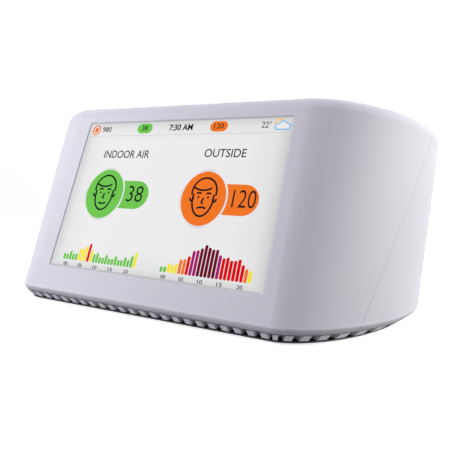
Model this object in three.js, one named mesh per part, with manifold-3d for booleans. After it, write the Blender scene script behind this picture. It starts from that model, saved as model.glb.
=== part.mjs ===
// Desk air quality monitor: a white wedge-fronted case with a touch display in its tilted front
// face, a ring of air slots round its base, and the sensors, battery and boards inside.
// Millimetres, +Z up, front towards -Y. The origin is on the table, under the middle of the case.

import * as THREE from 'three';
import { mergeVertices } from 'three/addons/utils/BufferGeometryUtils.js';
import Module from 'manifold-3d';

const wasm = await Module();
wasm.setup();

// ---------------------------------------------------------------- driving dimensions

const GAP = 0.3;                      // air between pieces that touch
const PAST = 1;                       // how far a cutting tool runs past what it cuts
const SIDES = { bore: 8, small: 12, round: 20, fine: 28 };

const CASE = {
  width: 184.2,                       // at the top
  widthTaper: 7.2,                    // narrower by this much at the table
  depth: 99.2,                        // lowest front edge of the shell to the back
  height: 82.2,                       // underside of the base to the flat top
  frontTilt: Math.atan(0.29),         // the front leans back
  flatHalfWidth: 50.5,                // flat middle of the front face
  frontPower: 1.7,                    // superellipse power of the long front corners
  rearBow: 12.1,                      // how far the back bulges behind the widest point
  rearPower: 2.4,
  wall: 2.4,
  topFillet: 5.0,
  innerFillet: 3.0,
};

const LIP = { top: 5.7, radius: 2.6, turn: Math.PI / 3 };   // rounded lower edge of the shells
const SHELL_BOTTOM = LIP.top - LIP.radius * Math.sin(LIP.turn);

const PARTING = { atTable: -28.6, slope: 0.647, gap: 0.2 }; // leaning joint of the two shells

const WINDOW = { x: 1.25, slope: 46.3, width: 90.8, height: 62.7, corner: 0.8 };

const COVER = { bottom: 0.2, top: 0.8, bottomInset: 5.3, topInset: 5.0 };   // black plate under the base

const BASE = {
  bottom: COVER.top + GAP,
  top: SHELL_BOTTOM - GAP,
  topInset: 1.6,
  bottomInset: 4.4,
  floor: 2.3,
  pocketInset: 11,
  rimInset: 2.9,
  rimWidth: 1.4,
  rimTop: 6.6,
};

const SLOT = { pitch: 4.6, inset: 9, frontCount: 37, rearCount: 29 };

const VENT = { count: 8, first: 26, width: SLOT.pitch / 2, low: 14, high: 34 };   // each side of the back

const FOOT = {
  radius: 6, proud: 0.8,
  places: [[-56, -27], [56, -27], [-70, 22], [70, 22]],
};

const SCREW = { shank: 1.4, head: 2.9, headHeight: 1.5, boss: 3.6, tip: 0.6 };
const SCREW_LENGTH = { base: 6.4, tray: 3.3, board: 4.4, buttonBoard: 6 };
const BORE = SCREW.shank + GAP;
const BASE_SCREWS = { frontX: 38, frontY: -35.5, rearX: 60, rearY: 34, frontTop: 10.2, rearTop: 14, pad: 3.8 };
const SUPPORT = {
  powerX: 9, powerRadius: 2.2, co2Radius: 2,
  stopWidth: 1.6, stopLength: 6, stopHeight: 4, railLength: 4, railHeight: 6,
};

const PANEL = { width: 97, height: 65.4, thickness: 2.4 };
const TRAY = {
  wall: 0.6, front: 3.8, depth: 6.1, standoff: 3.1, post: 2.8, boss: 2.6, bossFrom: 2.2,
  tab: 6, tabHeight: 8, tabFrom: 4.9, tabThickness: 1.0,
};
const BOARD = { width: 92, height: 52, thickness: 1.6, from: 9.5 };
const BOARD_HOLES = { x: 42, z: 22 };

const BUTTON = {
  radius: 5, gap: 0.4, spacing: 20, y: 6,
  flange: 6.4, flangeHeight: 0.9, stem: 2, stemBottom: 77.6, flangeBottom: 78.4, sunk: 0.1,
};
const BUTTON_BOARD = { width: 72, depth: 14, bottom: 70.6, thickness: 1.2, postX: 32, post: 2.8 };

const KEY = { size: 6, height: 3.5, plunger: 1.6, plungerTop: 4.9 };

const DUST = { x: -48, y: 10, width: 50, depth: 38, bottom: 3.5, height: 19.2, wall: 1.5, cover: 1.5 };
const DUST_BOARD = { fromMiddle: 12, width: 22, depth: 32, thickness: 1.2 };
const LASER = { fromMiddle: 17, y: 8, radius: 3, length: 14, lift: 4.8 };
const DETECTOR = { fromMiddle: 17, y: 8, width: 5, depth: 4, height: 2.4, lift: 1.5 };
const INLET = { offsets: [-8, -4, 0, 4, 8], width: 2, low: 5, high: 13 };
const FAN = {
  x: -36, y: 12, bottom: 14, height: 7, radius: 9.2, hub: 4, bore: 1.6, shaft: 1.4, seat: 20, spoke: 1.6,
  blades: 9, bladeThickness: 0.8, bladeTurn: 0.35,
};
const DUCT = { x: -46, z: 18, width: 16, height: 9, wall: 1.8, back: 45.3 };

const CO2 = {
  x: 36, y: 18, width: 33, depth: 20, height: 12,
  boardWidth: 40, boardDepth: 26, boardZ: 6, margin: 3,
};
const CLIMATE = { x: 66, y: -9, width: 14, height: 12, thickness: 1.2, bottom: 3.5, chip: 3 };
const POWER = { width: 24, depth: 18, z: 8.6, thickness: 1.6, y: 38, supportY: 32 };
const USB = { width: 7.6, height: 2.8, depth: 6, wall: 0.4, mouth: 49.2 };
const CONNECTOR = { battery: 28, sensor: -30, z: -16, depth: 5 };
const WIRE_RADIUS = 1;
const BATTERY = { x: 8, y: -12, width: 56, depth: 32, bottom: 2.6, height: 8 };
const ANTENNA = { y: 36, width: 40, depth: 8, thickness: 0.4 };

// ---------------------------------------------------------------- finishes

const finish = (color, roughness, metalness = 0) => new THREE.MeshStandardMaterial({ color, roughness, metalness });

const FINISH = {
  shell: finish(0xe6e5ea, 0.45),
  screen: finish(0xe9e9e9, 0.2),
  rubber: finish(0x3a3a3c, 0.9),
  steel: finish(0xb8babd, 0.3, 1),
  tin: finish(0xc9cacb, 0.35, 1),
  panel: finish(0x24262a, 0.4),
  board: finish(0x1e6b3c, 0.5),
  chip: finish(0x26272a, 0.5),
  ribbon: finish(0xb8763a, 0.5),
  cell: finish(0x8e9196, 0.4, 0.6),
  cable: finish(0xa32822, 0.5),
  housing: finish(0x2e4f88, 0.5),
  cover: finish(0xd5d6d8, 0.35, 0.8),
  rotor: finish(0x1b1c1f, 0.5),
  brass: finish(0xc9a349, 0.3, 1),
  foam: finish(0x4a4b4e, 0.95),
};

// ---------------------------------------------------------------- solids

function toSolid(geometry) {
  const bare = geometry.clone();
  bare.deleteAttribute('normal');
  bare.deleteAttribute('uv');
  const merged = mergeVertices(bare);
  const vertProperties = new Float32Array(merged.attributes.position.array);
  const triVerts = new Uint32Array(merged.index.array);
  return new wasm.Manifold(new wasm.Mesh({ numProp: 3, vertProperties, triVerts }));
}

function toGeometry(solid) {
  const mesh = solid.getMesh();
  const geometry = new THREE.BufferGeometry();
  geometry.setAttribute('position', new THREE.BufferAttribute(mesh.vertProperties, 3));
  geometry.setIndex(new THREE.BufferAttribute(mesh.triVerts, 1));
  geometry.computeVertexNormals();
  return geometry;
}

// Joins the first list of geometries and cuts the second list from them.
function carve(parts, cuts = []) {
  const body = parts.map(toSolid).reduce((sum, next) => sum.add(next));
  return toGeometry(cuts.map(toSolid).reduce((left, next) => left.subtract(next), body));
}

function block([x0, x1], [y0, y1], [z0, z1]) {
  const box = new THREE.BoxGeometry(x1 - x0, y1 - y0, z1 - z0);
  return box.translate((x0 + x1) / 2, (y0 + y1) / 2, (z0 + z1) / 2);
}

const around = (middle, size) => [middle - size / 2, middle + size / 2];

// Upright cylinder from z0 to z1.
function post(x, y, z0, z1, radius, sides = SIDES.small) {
  const cylinder = new THREE.CylinderGeometry(radius, radius, z1 - z0, sides);
  return cylinder.rotateX(Math.PI / 2).translate(x, y, (z0 + z1) / 2);
}

// Cylinder along Y from y0 to y1.
function rod(x, z, y0, y1, radius, sides = SIDES.small) {
  const cylinder = new THREE.CylinderGeometry(radius, radius, y1 - y0, sides);
  return cylinder.translate(x, (y0 + y1) / 2, z);
}

// Plate with rounded corners in the XZ plane, from y0 to y1.
function facePlate(x, z, width, height, corner, y0, y1) {
  const w = width / 2 - corner;
  const h = height / 2 - corner;
  const shape = new THREE.Shape();
  shape.absarc(w, h, corner, 0, Math.PI / 2);
  shape.absarc(-w, h, corner, Math.PI / 2, Math.PI);
  shape.absarc(-w, -h, corner, Math.PI, Math.PI * 1.5);
  shape.absarc(w, -h, corner, Math.PI * 1.5, Math.PI * 2);
  const plate = new THREE.ExtrudeGeometry(shape, { depth: y1 - y0, bevelEnabled: false, curveSegments: 3 });
  return plate.rotateX(Math.PI / 2).translate(x, y1, z);
}

// Pan-head screw along Z: the head is below z = 0 and the shank runs up to the length.
function screwGeometry(length) {
  const { shank, head, headHeight } = SCREW;
  const profile = [
    [0, -headHeight], [head * 0.8, -headHeight], [head, -headHeight * 0.6], [head, 0],
    [shank, 0], [shank, length - SCREW.tip], [shank * 0.5, length], [0, length],
  ];
  return turned(profile, SIDES.small);
}

// Solid of revolution about Z through [radius, z] points that start and end on the axis.
function turned(profile, sides) {
  const points = profile.map(([radius, z]) => new THREE.Vector2(radius, z));
  return new THREE.LatheGeometry(points, sides).rotateX(Math.PI / 2);
}

// ---------------------------------------------------------------- case outline

const frontAt = (z) => -CASE.depth / 2 + (z - LIP.top) * Math.tan(CASE.frontTilt);
const halfWidthAt = (z) => (CASE.width - CASE.widthTaper * (1 - z / CASE.height)) / 2;
const WIDEST_Y = CASE.depth / 2 - CASE.rearBow;
const partingAt = (z) => PARTING.atTable + z * PARTING.slope;

// Superellipse quarter: [across, along], from (1, 0) at turn 0 to (0, 1) at turn 90 degrees.
function quarter(power, steps) {
  return Array.from({ length: steps + 1 }, (_, i) => {
    const turn = (i / steps) * Math.PI / 2;
    return [Math.abs(Math.cos(turn)) ** (2 / power), Math.abs(Math.sin(turn)) ** (2 / power)];
  });
}

// Closed outline of the case at height z, moved in by inset, anticlockwise from above.
function outline(z, inset, steps = 9) {
  const halfWidth = halfWidthAt(z) - inset;
  const front = frontAt(z) + inset;
  const back = CASE.depth / 2 - inset;
  const sweep = halfWidth - CASE.flatHalfWidth;
  const corner = quarter(CASE.frontPower, steps).reverse()
    .map(([across, along]) => [CASE.flatHalfWidth + sweep * across, WIDEST_Y + (front - WIDEST_Y) * along]);
  const rear = quarter(CASE.rearPower, steps).slice(1)
    .map(([across, along]) => [halfWidth * across, WIDEST_Y + (back - WIDEST_Y) * along]);
  const right = [...corner, ...rear];
  const left = right.slice(0, -1).reverse().map(([x, y]) => [-x, y]);
  return [...right, ...left];
}

// Closed solid through a stack of outlines, each given as [z, inset].
function loft(levels, steps) {
  const rings = levels.map(([z, inset]) => outline(z, inset, steps).map(([x, y]) => [x, y, z]));
  const count = rings[0].length;
  const last = (rings.length - 1) * count;
  const points = rings.flat();
  const low = points.push([0, 0, levels[0][0]]) - 1;
  const high = points.push([0, 0, levels.at(-1)[0]]) - 1;
  const faces = [];
  for (let i = 0; i < count; i += 1) {
    const next = (i + 1) % count;
    faces.push([low, next, i], [high, last + i, last + next]);
    for (let row = 0; row < last; row += count) {
      faces.push([row + i, row + next, row + count + next], [row + i, row + count + next, row + count + i]);
    }
  }
  const geometry = new THREE.BufferGeometry();
  geometry.setAttribute('position', new THREE.Float32BufferAttribute(points.flat(), 3));
  geometry.setIndex(faces.flat());
  return geometry;
}

// Levels of a quarter-round that turns a wall at fullZ into a flat face above it.
function filletLevels(fullZ, radius, inset, steps) {
  return Array.from({ length: steps + 1 }, (_, i) => {
    const turn = (i / steps) * Math.PI / 2;
    return [fullZ + radius * Math.sin(turn), inset + radius * (1 - Math.cos(turn))];
  });
}

function lipLevels(steps) {
  return Array.from({ length: steps }, (_, i) => {
    const turn = LIP.turn * (1 - i / steps);
    return [LIP.top - LIP.radius * Math.sin(turn), LIP.radius * (1 - Math.cos(turn))];
  });
}

function caseOuter() {
  const top = filletLevels(CASE.height - CASE.topFillet, CASE.topFillet, 0, 4);
  return loft([...lipLevels(3), [LIP.top, 0], ...top]);
}

function caseInner() {
  const ceiling = CASE.height - CASE.wall;
  const top = filletLevels(ceiling - CASE.innerFillet, CASE.innerFillet, CASE.wall, 2);
  return loft([[SHELL_BOTTOM - 2, CASE.wall], ...top]);
}

// Everything in front of the leaning parting plane, or behind it.
function halfSpace(side) {
  const reach = 200;
  const shift = (side * PARTING.gap) / 2;
  const near = (z) => partingAt(z) + shift;
  const profile = new THREE.Shape([
    new THREE.Vector2(near(-reach), -reach),
    new THREE.Vector2(side * reach * 2, -reach),
    new THREE.Vector2(side * reach * 2, reach),
    new THREE.Vector2(near(reach), reach),
  ]);
  const slab = new THREE.ExtrudeGeometry(profile, { depth: 2 * reach, bevelEnabled: false });
  // The shape's X becomes Y, and its Y becomes Z.
  const turn = new THREE.Matrix4().makeBasis(
    new THREE.Vector3(0, 1, 0), new THREE.Vector3(0, 0, 1), new THREE.Vector3(1, 0, 0));
  return slab.applyMatrix4(turn).translate(-reach, 0, 0);
}

// ---------------------------------------------------------------- tilted front frame

// In this frame y = 0 is the front face, +y goes into the case and z runs up the slope.
const face = new THREE.Group();
face.position.set(0, frontAt(0), 0);
face.rotation.x = -CASE.frontTilt;
face.updateMatrix();

const inCaseFrame = (geometry) => geometry.applyMatrix4(face.matrix);

const WALL_BACK = CASE.wall * Math.cos(CASE.frontTilt);
const PANEL_FRONT = WALL_BACK + GAP;
const PANEL_BACK = PANEL_FRONT + PANEL.thickness;
const TRAY_WIDTH = PANEL.width + 2 * (GAP + TRAY.wall);
const TRAY_HEIGHT = PANEL.height + 2 * (GAP + TRAY.wall);
const TAB = { x: TRAY_WIDTH / 2 + TRAY.tab / 2 - 0.3, z: 20, back: TRAY.tabFrom + TRAY.tabThickness };

const corners = (x, z) => [[-x, -z], [x, -z], [-x, z], [x, z]];

// ---------------------------------------------------------------- shells

const baseScrewPlaces = [
  [-BASE_SCREWS.frontX, BASE_SCREWS.frontY], [BASE_SCREWS.frontX, BASE_SCREWS.frontY],
  [-BASE_SCREWS.rearX, BASE_SCREWS.rearY], [BASE_SCREWS.rearX, BASE_SCREWS.rearY],
];

// A screw boss that stands on nothing but a rib to the wall.
function wallBoss(x, y, top, wallY) {
  const rib = block(around(x, 2), [Math.min(y, wallY), Math.max(y, wallY)], [BASE.rimTop + GAP, top - 1]);
  return [post(x, y, BASE_SCREWS.pad + GAP, top, SCREW.boss), rib];
}

const pilot = (x, y, top) => post(x, y, 0, top - 1.5, BORE, SIDES.bore);

function tabBosses() {
  return corners(TAB.x, TAB.z).map(([x, z]) => inCaseFrame(
    rod(WINDOW.x + x, WINDOW.slope + z, TRAY.bossFrom, TRAY.tabFrom - GAP, TRAY.boss)));
}

function tabPilots() {
  return corners(TAB.x, TAB.z).map(([x, z]) => inCaseFrame(
    rod(WINDOW.x + x, WINDOW.slope + z, WALL_BACK + GAP, TRAY.tabFrom + PAST, BORE, SIDES.bore)));
}

const buttonXs = [-BUTTON.spacing, 0, BUTTON.spacing];
const UNDER_TOP = CASE.height - CASE.wall;

function frontShell() {
  const bosses = [-1, 1].flatMap((side) => wallBoss(
    side * BASE_SCREWS.frontX, BASE_SCREWS.frontY, BASE_SCREWS.frontTop, frontAt(0) + CASE.wall + 0.6));
  const boardPosts = [-1, 1].map((side) => post(
    side * BUTTON_BOARD.postX, BUTTON.y, BUTTON_BOARD.bottom + BUTTON_BOARD.thickness + GAP,
    UNDER_TOP + PAST, BUTTON_BOARD.post));
  const opening = inCaseFrame(facePlate(
    WINDOW.x, WINDOW.slope, WINDOW.width, WINDOW.height, WINDOW.corner, -3, WALL_BACK + 1));
  const pilots = [-1, 1].map((side) => pilot(
    side * BASE_SCREWS.frontX, BASE_SCREWS.frontY, BASE_SCREWS.frontTop));
  const postPilots = [-1, 1].map((side) => post(
    side * BUTTON_BOARD.postX, BUTTON.y, BUTTON_BOARD.bottom, UNDER_TOP - PAST, BORE, SIDES.bore));
  const buttonHoles = buttonXs.map((x) => post(
    x, BUTTON.y, UNDER_TOP - PAST, CASE.height + PAST, BUTTON.radius + BUTTON.gap, SIDES.fine));
  const shell = toSolid(caseOuter()).subtract(toSolid(caseInner()));
  const half = toGeometry(shell.intersect(toSolid(halfSpace(-1))));
  const added = [half, ...bosses, ...boardPosts, ...tabBosses()];
  return carve(added, [opening, ...pilots, ...tabPilots(), ...postPilots, ...buttonHoles]);
}

const USB_Z = POWER.z + POWER.thickness + GAP + USB.height / 2;

// Rows of upright air slots in the back, left and right of the middle.
function rearVents() {
  const places = Array.from({ length: VENT.count }, (_, i) => VENT.first + i * SLOT.pitch);
  return places.flatMap((x) => [-x, x]).map((x) => block(
    around(x, VENT.width), [CASE.depth / 4, CASE.depth], [VENT.low, VENT.high]));
}

function rearShell() {
  const bosses = [-1, 1].flatMap((side) => wallBoss(
    side * BASE_SCREWS.rearX, BASE_SCREWS.rearY, BASE_SCREWS.rearTop, WIDEST_Y + CASE.rearBow - 4.2));
  const pilots = [-1, 1].map((side) => pilot(
    side * BASE_SCREWS.rearX, BASE_SCREWS.rearY, BASE_SCREWS.rearTop));
  const socketHole = facePlate(0, USB_Z, USB.width + 2 * GAP, USB.height + 2 * GAP, 0.9, 40, 60);
  const shell = toSolid(caseOuter()).subtract(toSolid(caseInner()));
  const half = toGeometry(shell.intersect(toSolid(halfSpace(1))));
  return carve([half, ...bosses], [...pilots, socketHole, ...rearVents()]);
}

// ---------------------------------------------------------------- base with its ring of slots

// Point on the outline at the table and the unit normal that points into the case.
function edgePoint(x, rear) {
  const halfWidth = halfWidthAt(0);
  const start = rear ? 0 : CASE.flatHalfWidth;
  const power = rear ? CASE.rearPower : CASE.frontPower;
  const end = rear ? CASE.depth / 2 : frontAt(0);
  const across = Math.max(0, Math.abs(x) - start) / (halfWidth - start);
  const along = (1 - across ** power) ** (1 / power);
  const y = WIDEST_Y + (end - WIDEST_Y) * along;
  const normal = new THREE.Vector2(
    -Math.sign(x) * across ** (power - 1) / (halfWidth - start),
    -(along ** (power - 1)) / (end - WIDEST_Y));
  return { at: new THREE.Vector2(x, y), inward: normal.normalize() };
}

// One slot: a wedge between two lines square to the outline, half a pitch apart in X.
function slotCutter(x, rear) {
  const sides = [-1, 1].map((side) => edgePoint(x + (side * SLOT.pitch) / 4, rear));
  const reach = (edge, distance) => edge.at.clone().addScaledVector(edge.inward, distance);
  const outside = -3;
  const points = [
    reach(sides[0], outside), reach(sides[1], outside), reach(sides[1], SLOT.inset), reach(sides[0], SLOT.inset),
  ];
  const shape = new THREE.Shape(points);
  return new THREE.ExtrudeGeometry(shape, { depth: BASE.top + 2, bevelEnabled: false }).translate(0, 0, -1);
}

function slotCutters() {
  const row = (count, rear) => Array.from({ length: count }, (_, i) => slotCutter(
    (i - (count - 1) / 2) * SLOT.pitch, rear));
  return [...row(SLOT.frontCount, false), ...row(SLOT.rearCount, true)];
}

function slottedRing() {
  const plate = loft([[BASE.bottom, BASE.bottomInset], [BASE.top, BASE.topInset]], 12);
  const pocket = loft([[BASE.floor, BASE.pocketInset], [BASE.top + 2, BASE.pocketInset]], 6);
  return carve([plate], [pocket, ...slotCutters()]);
}

function locatingRim() {
  const inner = BASE.rimInset + BASE.rimWidth;
  const outside = loft([[BASE.top - 0.5, BASE.rimInset], [BASE.rimTop, BASE.rimInset]], 7);
  return carve([outside], [loft([[BASE.top - 2, inner], [BASE.rimTop + 2, inner]], 7)]);
}

// What stands on the base's floor: pads for the case screws and supports for the boards.
function baseSupports() {
  const { powerX, powerRadius, co2Radius, stopWidth, stopLength, stopHeight, railLength, railHeight } = SUPPORT;
  const low = (BASE.bottom + BASE.floor) / 2;
  const beside = GAP + stopWidth / 2;
  const pads = baseScrewPlaces.map(([x, y]) => post(x, y, low, BASE_SCREWS.pad, SCREW.boss));
  const powerPosts = [-1, 1].map((side) => post(
    side * powerX, POWER.supportY, low, POWER.z - GAP, powerRadius));
  const co2Posts = corners(CO2.boardWidth / 2 - CO2.margin, CO2.boardDepth / 2 - CO2.margin).map(([x, y]) => post(
    CO2.x + x, CO2.y + y, low, CO2.boardZ - GAP, co2Radius));
  const batteryStops = corners(BATTERY.width / 2 + beside, BATTERY.depth / 2 - stopLength).map(([x, y]) => block(
    around(BATTERY.x + x, stopWidth), around(BATTERY.y + y, stopLength), [low, BATTERY.bottom + stopHeight]));
  const climateRails = [-1, 1].map((side) => block(
    around(CLIMATE.x, railLength), around(CLIMATE.y + side * (CLIMATE.width / 2 + beside), stopWidth),
    [low, CLIMATE.bottom + railHeight]));
  return [...pads, ...powerPosts, ...co2Posts, ...batteryStops, ...climateRails];
}

function basePlate() {
  const seats = baseScrewPlaces.map(([x, y]) => post(
    x, y, -PAST, SCREW.headHeight + GAP, SCREW.head + GAP));
  const holes = baseScrewPlaces.map(([x, y]) => post(x, y, 0, BASE_SCREWS.pad + PAST, BORE, SIDES.bore));
  return carve([slottedRing(), locatingRim(), ...baseSupports()], [...seats, ...holes]);
}

// Thin plate that closes the slots from below, with holes for the screws and the feet.
function bottomCover() {
  const plate = loft([[COVER.bottom, COVER.bottomInset], [COVER.top, COVER.topInset]], 12);
  const screwHoles = baseScrewPlaces.map(([x, y]) => post(x, y, -PAST, COVER.top + PAST, SCREW.head + GAP));
  const footHoles = FOOT.places.map(([x, y]) => post(x, y, -PAST, COVER.top + PAST, FOOT.radius + GAP, SIDES.round));
  return carve([plate], [...screwHoles, ...footHoles]);
}

function basePieces(add) {
  add('base_plate', basePlate(), FINISH.shell);
  add('bottom_cover', bottomCover(), FINISH.chip);
  FOOT.places.forEach(([x, y], i) => add(
    `rubber_foot_${i + 1}`, post(0, 0, -FOOT.proud, COVER.top, FOOT.radius, SIDES.round), FINISH.rubber, [x, y, 0]));
  baseScrewPlaces.forEach(([x, y], i) => add(
    `base_screw_${i + 1}`, screwGeometry(SCREW_LENGTH.base), FINISH.steel, [x, y, SCREW.headHeight]));
}

// ---------------------------------------------------------------- display

function displayPieces(add) {
  const { x, slope, width, height, corner } = WINDOW;
  add('display_lens', facePlate(
    x, slope, width - 0.5, height - 0.5, corner - 0.25, 0.05, WALL_BACK), FINISH.screen);
  add('display_panel', block(
    around(x, PANEL.width), [PANEL_FRONT, PANEL_BACK], around(slope, PANEL.height)), FINISH.panel);
  add('display_tray', displayTray(), FINISH.tin);
  add('display_ribbon', displayRibbon(), FINISH.ribbon);
}

const RIBBON = { width: 18, thickness: 0.4, low: WINDOW.slope - TRAY_HEIGHT / 2 - 1.2 };

function displayTray() {
  const { x, slope } = WINDOW;
  const outer = block(around(x, TRAY_WIDTH), [TRAY.front, TRAY.depth], around(slope, TRAY_HEIGHT));
  const inner = block(
    around(x, PANEL.width + 2 * GAP), [0, PANEL_BACK + GAP], around(slope, PANEL.height + 2 * GAP));
  const tabs = corners(TAB.x, TAB.z).map(([dx, dz]) => block(
    around(x + dx, TRAY.tab), [TRAY.tabFrom, TAB.back], around(slope + dz, TRAY.tabHeight)));
  const standoffs = corners(BOARD_HOLES.x, BOARD_HOLES.z).map(([dx, dz]) => rod(
    x + dx, slope + dz, TRAY.depth - TRAY.wall / 3, TRAY.depth + TRAY.standoff, TRAY.post));
  const tapped = corners(BOARD_HOLES.x, BOARD_HOLES.z).map(([dx, dz]) => rod(
    x + dx, slope + dz, TRAY.depth + GAP, TRAY.depth + TRAY.standoff + PAST, BORE, SIDES.bore));
  const tabHoles = corners(TAB.x, TAB.z).map(([dx, dz]) => rod(
    x + dx, slope + dz, TRAY.front, TRAY.depth + PAST, BORE, SIDES.bore));
  const ribbonNotch = block(
    around(x, RIBBON.width + 2), [0, PANEL_BACK + GAP], [slope - TRAY_HEIGHT / 2 - 1, slope - PANEL.height / 2]);
  return carve([outer, ...tabs, ...standoffs], [inner, ribbonNotch, ...tapped, ...tabHoles]);
}

// Flat ribbon that leaves the panel's lower edge, turns under the tray and rises to the board.
function displayRibbon() {
  const { thickness, low, width } = RIBBON;
  const start = WINDOW.slope - PANEL.height / 2 - GAP;
  const y0 = PANEL_FRONT + 0.8;
  const y1 = BOARD.from + BOARD.thickness + GAP + thickness;
  const top = WINDOW.slope - BOARD.height / 2 + 4;
  const shape = new THREE.Shape([
    [y0, start], [y0, low], [y1, low], [y1, top], [y1 - thickness, top],
    [y1 - thickness, low + thickness], [y0 + thickness, low + thickness], [y0 + thickness, start],
  ].map(([y, z]) => new THREE.Vector2(y, z)));
  const strip = new THREE.ExtrudeGeometry(shape, { depth: width, bevelEnabled: false });
  const turn = new THREE.Matrix4().makeBasis(
    new THREE.Vector3(0, 1, 0), new THREE.Vector3(0, 0, 1), new THREE.Vector3(1, 0, 0));
  return strip.applyMatrix4(turn).translate(WINDOW.x - width / 2, 0, 0);
}

// Screws through the tray's tabs and through the main board, heads towards the back.
function faceScrews(add) {
  const boardBack = BOARD.from + BOARD.thickness + GAP;
  const headBack = [Math.PI / 2, 0, 0];
  corners(TAB.x, TAB.z).forEach(([x, z], i) => add(
    `tray_screw_${i + 1}`, screwGeometry(SCREW_LENGTH.tray), FINISH.steel,
    [WINDOW.x + x, TAB.back + GAP, WINDOW.slope + z], headBack));
  corners(BOARD_HOLES.x, BOARD_HOLES.z).forEach(([x, z], i) => add(
    `board_screw_${i + 1}`, screwGeometry(SCREW_LENGTH.board), FINISH.steel,
    [WINDOW.x + x, boardBack, WINDOW.slope + z], headBack));
}

// ---------------------------------------------------------------- main board

const BOARD_PARTS = [
  { name: 'processor_shield', at: [-14, 6], size: [24, 22, 2.4], finish: FINISH.tin },
  { name: 'wifi_module', at: [22, 12], size: [18, 25, 3], finish: FINISH.tin },
  { name: 'memory_chip', at: [4, -8], size: [12, 10, 1.2], finish: FINISH.chip },
  {
    name: 'battery_connector', at: [CONNECTOR.battery, CONNECTOR.z],
    size: [8, 6, CONNECTOR.depth], finish: FINISH.screen,
  },
  {
    name: 'sensor_connector', at: [CONNECTOR.sensor, CONNECTOR.z],
    size: [12, 5, CONNECTOR.depth], finish: FINISH.screen,
  },
];

function mainBoardPieces(add) {
  const back = BOARD.from + BOARD.thickness + GAP;
  const chip = (name, [x, z], [width, height, thickness], material) => add(
    name, block(around(0, width), [0, thickness], around(0, height)), material,
    [WINDOW.x + x, back, WINDOW.slope + z]);
  const holes = corners(BOARD_HOLES.x, BOARD_HOLES.z).map(([x, z]) => rod(
    WINDOW.x + x, WINDOW.slope + z, 0, 20, BORE, SIDES.bore));
  const plate = facePlate(
    WINDOW.x, WINDOW.slope, BOARD.width, BOARD.height, 2, BOARD.from, BOARD.from + BOARD.thickness);
  add('main_board', carve([plate], holes), FINISH.board);
  BOARD_PARTS.forEach(({ name, at, size, finish: material }) => chip(name, at, size, material));
}

// ---------------------------------------------------------------- power

// Round wire along a smooth curve through the points.
function wire(points) {
  const curve = new THREE.CatmullRomCurve3(points.map((at) => new THREE.Vector3(...at)));
  const section = new THREE.Shape();
  section.absarc(0, 0, WIRE_RADIUS, 0, Math.PI * 2);
  return new THREE.ExtrudeGeometry(section, { steps: 10, curveSegments: 2, extrudePath: curve });
}

// Where a connector's back face is, in the case's frame, moved back by the gap.
function connectorEnd(x) {
  const back = BOARD.from + BOARD.thickness + GAP + CONNECTOR.depth + 2 * GAP;
  const at = new THREE.Vector3(WINDOW.x + x, back, WINDOW.slope + CONNECTOR.z).applyMatrix4(face.matrix);
  return at.toArray();
}

function powerPieces(add) {
  const { x, y, width, depth, bottom, height } = BATTERY;
  const cell = facePlate(0, 0, width, depth, 3, 0, height).rotateX(Math.PI / 2);
  add('battery', cell, FINISH.cell, [x, y, bottom]);
  const side = x + width / 2 + 2 * GAP;
  add('battery_cable', wire([
    [side, -12, 7], [side + 3.2, -13, 8], [side + 3, -18, 16], [32, -21, 23.5], connectorEnd(CONNECTOR.battery),
  ]), FINISH.cable);
  add('power_board', block(
    around(0, POWER.width), around(0, POWER.depth), [0, POWER.thickness]), FINISH.board, [0, POWER.y, POWER.z]);
  add('usb_socket', usbSocket(), FINISH.tin);
}

function usbSocket() {
  const { width, height, depth, wall, mouth } = USB;
  const shell = facePlate(0, USB_Z, width, height, 0.6, mouth - depth, mouth);
  const hollow = facePlate(0, USB_Z, width - 2 * wall, height - 2 * wall, 0.4, mouth - depth + 1, mouth + 1);
  const tongue = block(around(0, width - 2.6), [mouth - depth + 0.5, mouth - 0.8], around(USB_Z, 0.6));
  return carve([carve([shell], [hollow]), tongue]);
}

// ---------------------------------------------------------------- sensors

function dustSensorHousing() {
  const { x, y, width, depth, bottom, height, wall } = DUST;
  const outer = block(around(x, width), around(y, depth), [bottom, bottom + height]);
  const hollow = block(
    around(x, width - 2 * wall), around(y, depth - 2 * wall), [bottom + wall, bottom + height + PAST]);
  const platform = block(
    around(FAN.x, FAN.seat), around(FAN.y, FAN.seat), [bottom + wall / 2, FAN.bottom - 2 * GAP]);
  const shaft = post(FAN.x, FAN.y, FAN.bottom - 1, FAN.bottom + FAN.height, FAN.shaft, SIDES.round);
  const inlets = INLET.offsets.map((offset) => block(
    [x - width / 2 - PAST, x - width / 2 + wall + PAST], around(y + offset, INLET.width),
    [bottom + INLET.low, bottom + INLET.high]));
  const outlet = block(
    around(DUCT.x, DUCT.width - 2 * DUCT.wall), [y, y + depth / 2 + PAST], around(DUCT.z, DUCT.height - 2 * DUCT.wall));
  return carve([carve([outer], [hollow, ...inlets, outlet]), platform, shaft]);
}

// Lid of the dust sensor, with four curved windows over the fan.
function dustSensorCover() {
  const { x, y, width, depth, bottom, height, cover } = DUST;
  const z = bottom + height + GAP;
  const plate = block(around(x, width), around(y, depth), [z, z + cover]);
  const ring = carve(
    [post(FAN.x, FAN.y, z - PAST, z + cover + PAST, FAN.radius - 0.6, SIDES.fine)],
    [post(FAN.x, FAN.y, z - 2 * PAST, z + cover + 2 * PAST, FAN.hub, SIDES.round)]);
  const through = [z - 2 * PAST, z + cover + 2 * PAST];
  const spokes = [0, 1].map((turn) => block(around(0, 2 * FAN.seat), around(0, FAN.spoke), through)
    .rotateZ((turn * Math.PI) / 2).translate(FAN.x, FAN.y, 0));
  return carve([plate], [carve([ring], spokes)]);
}

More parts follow.
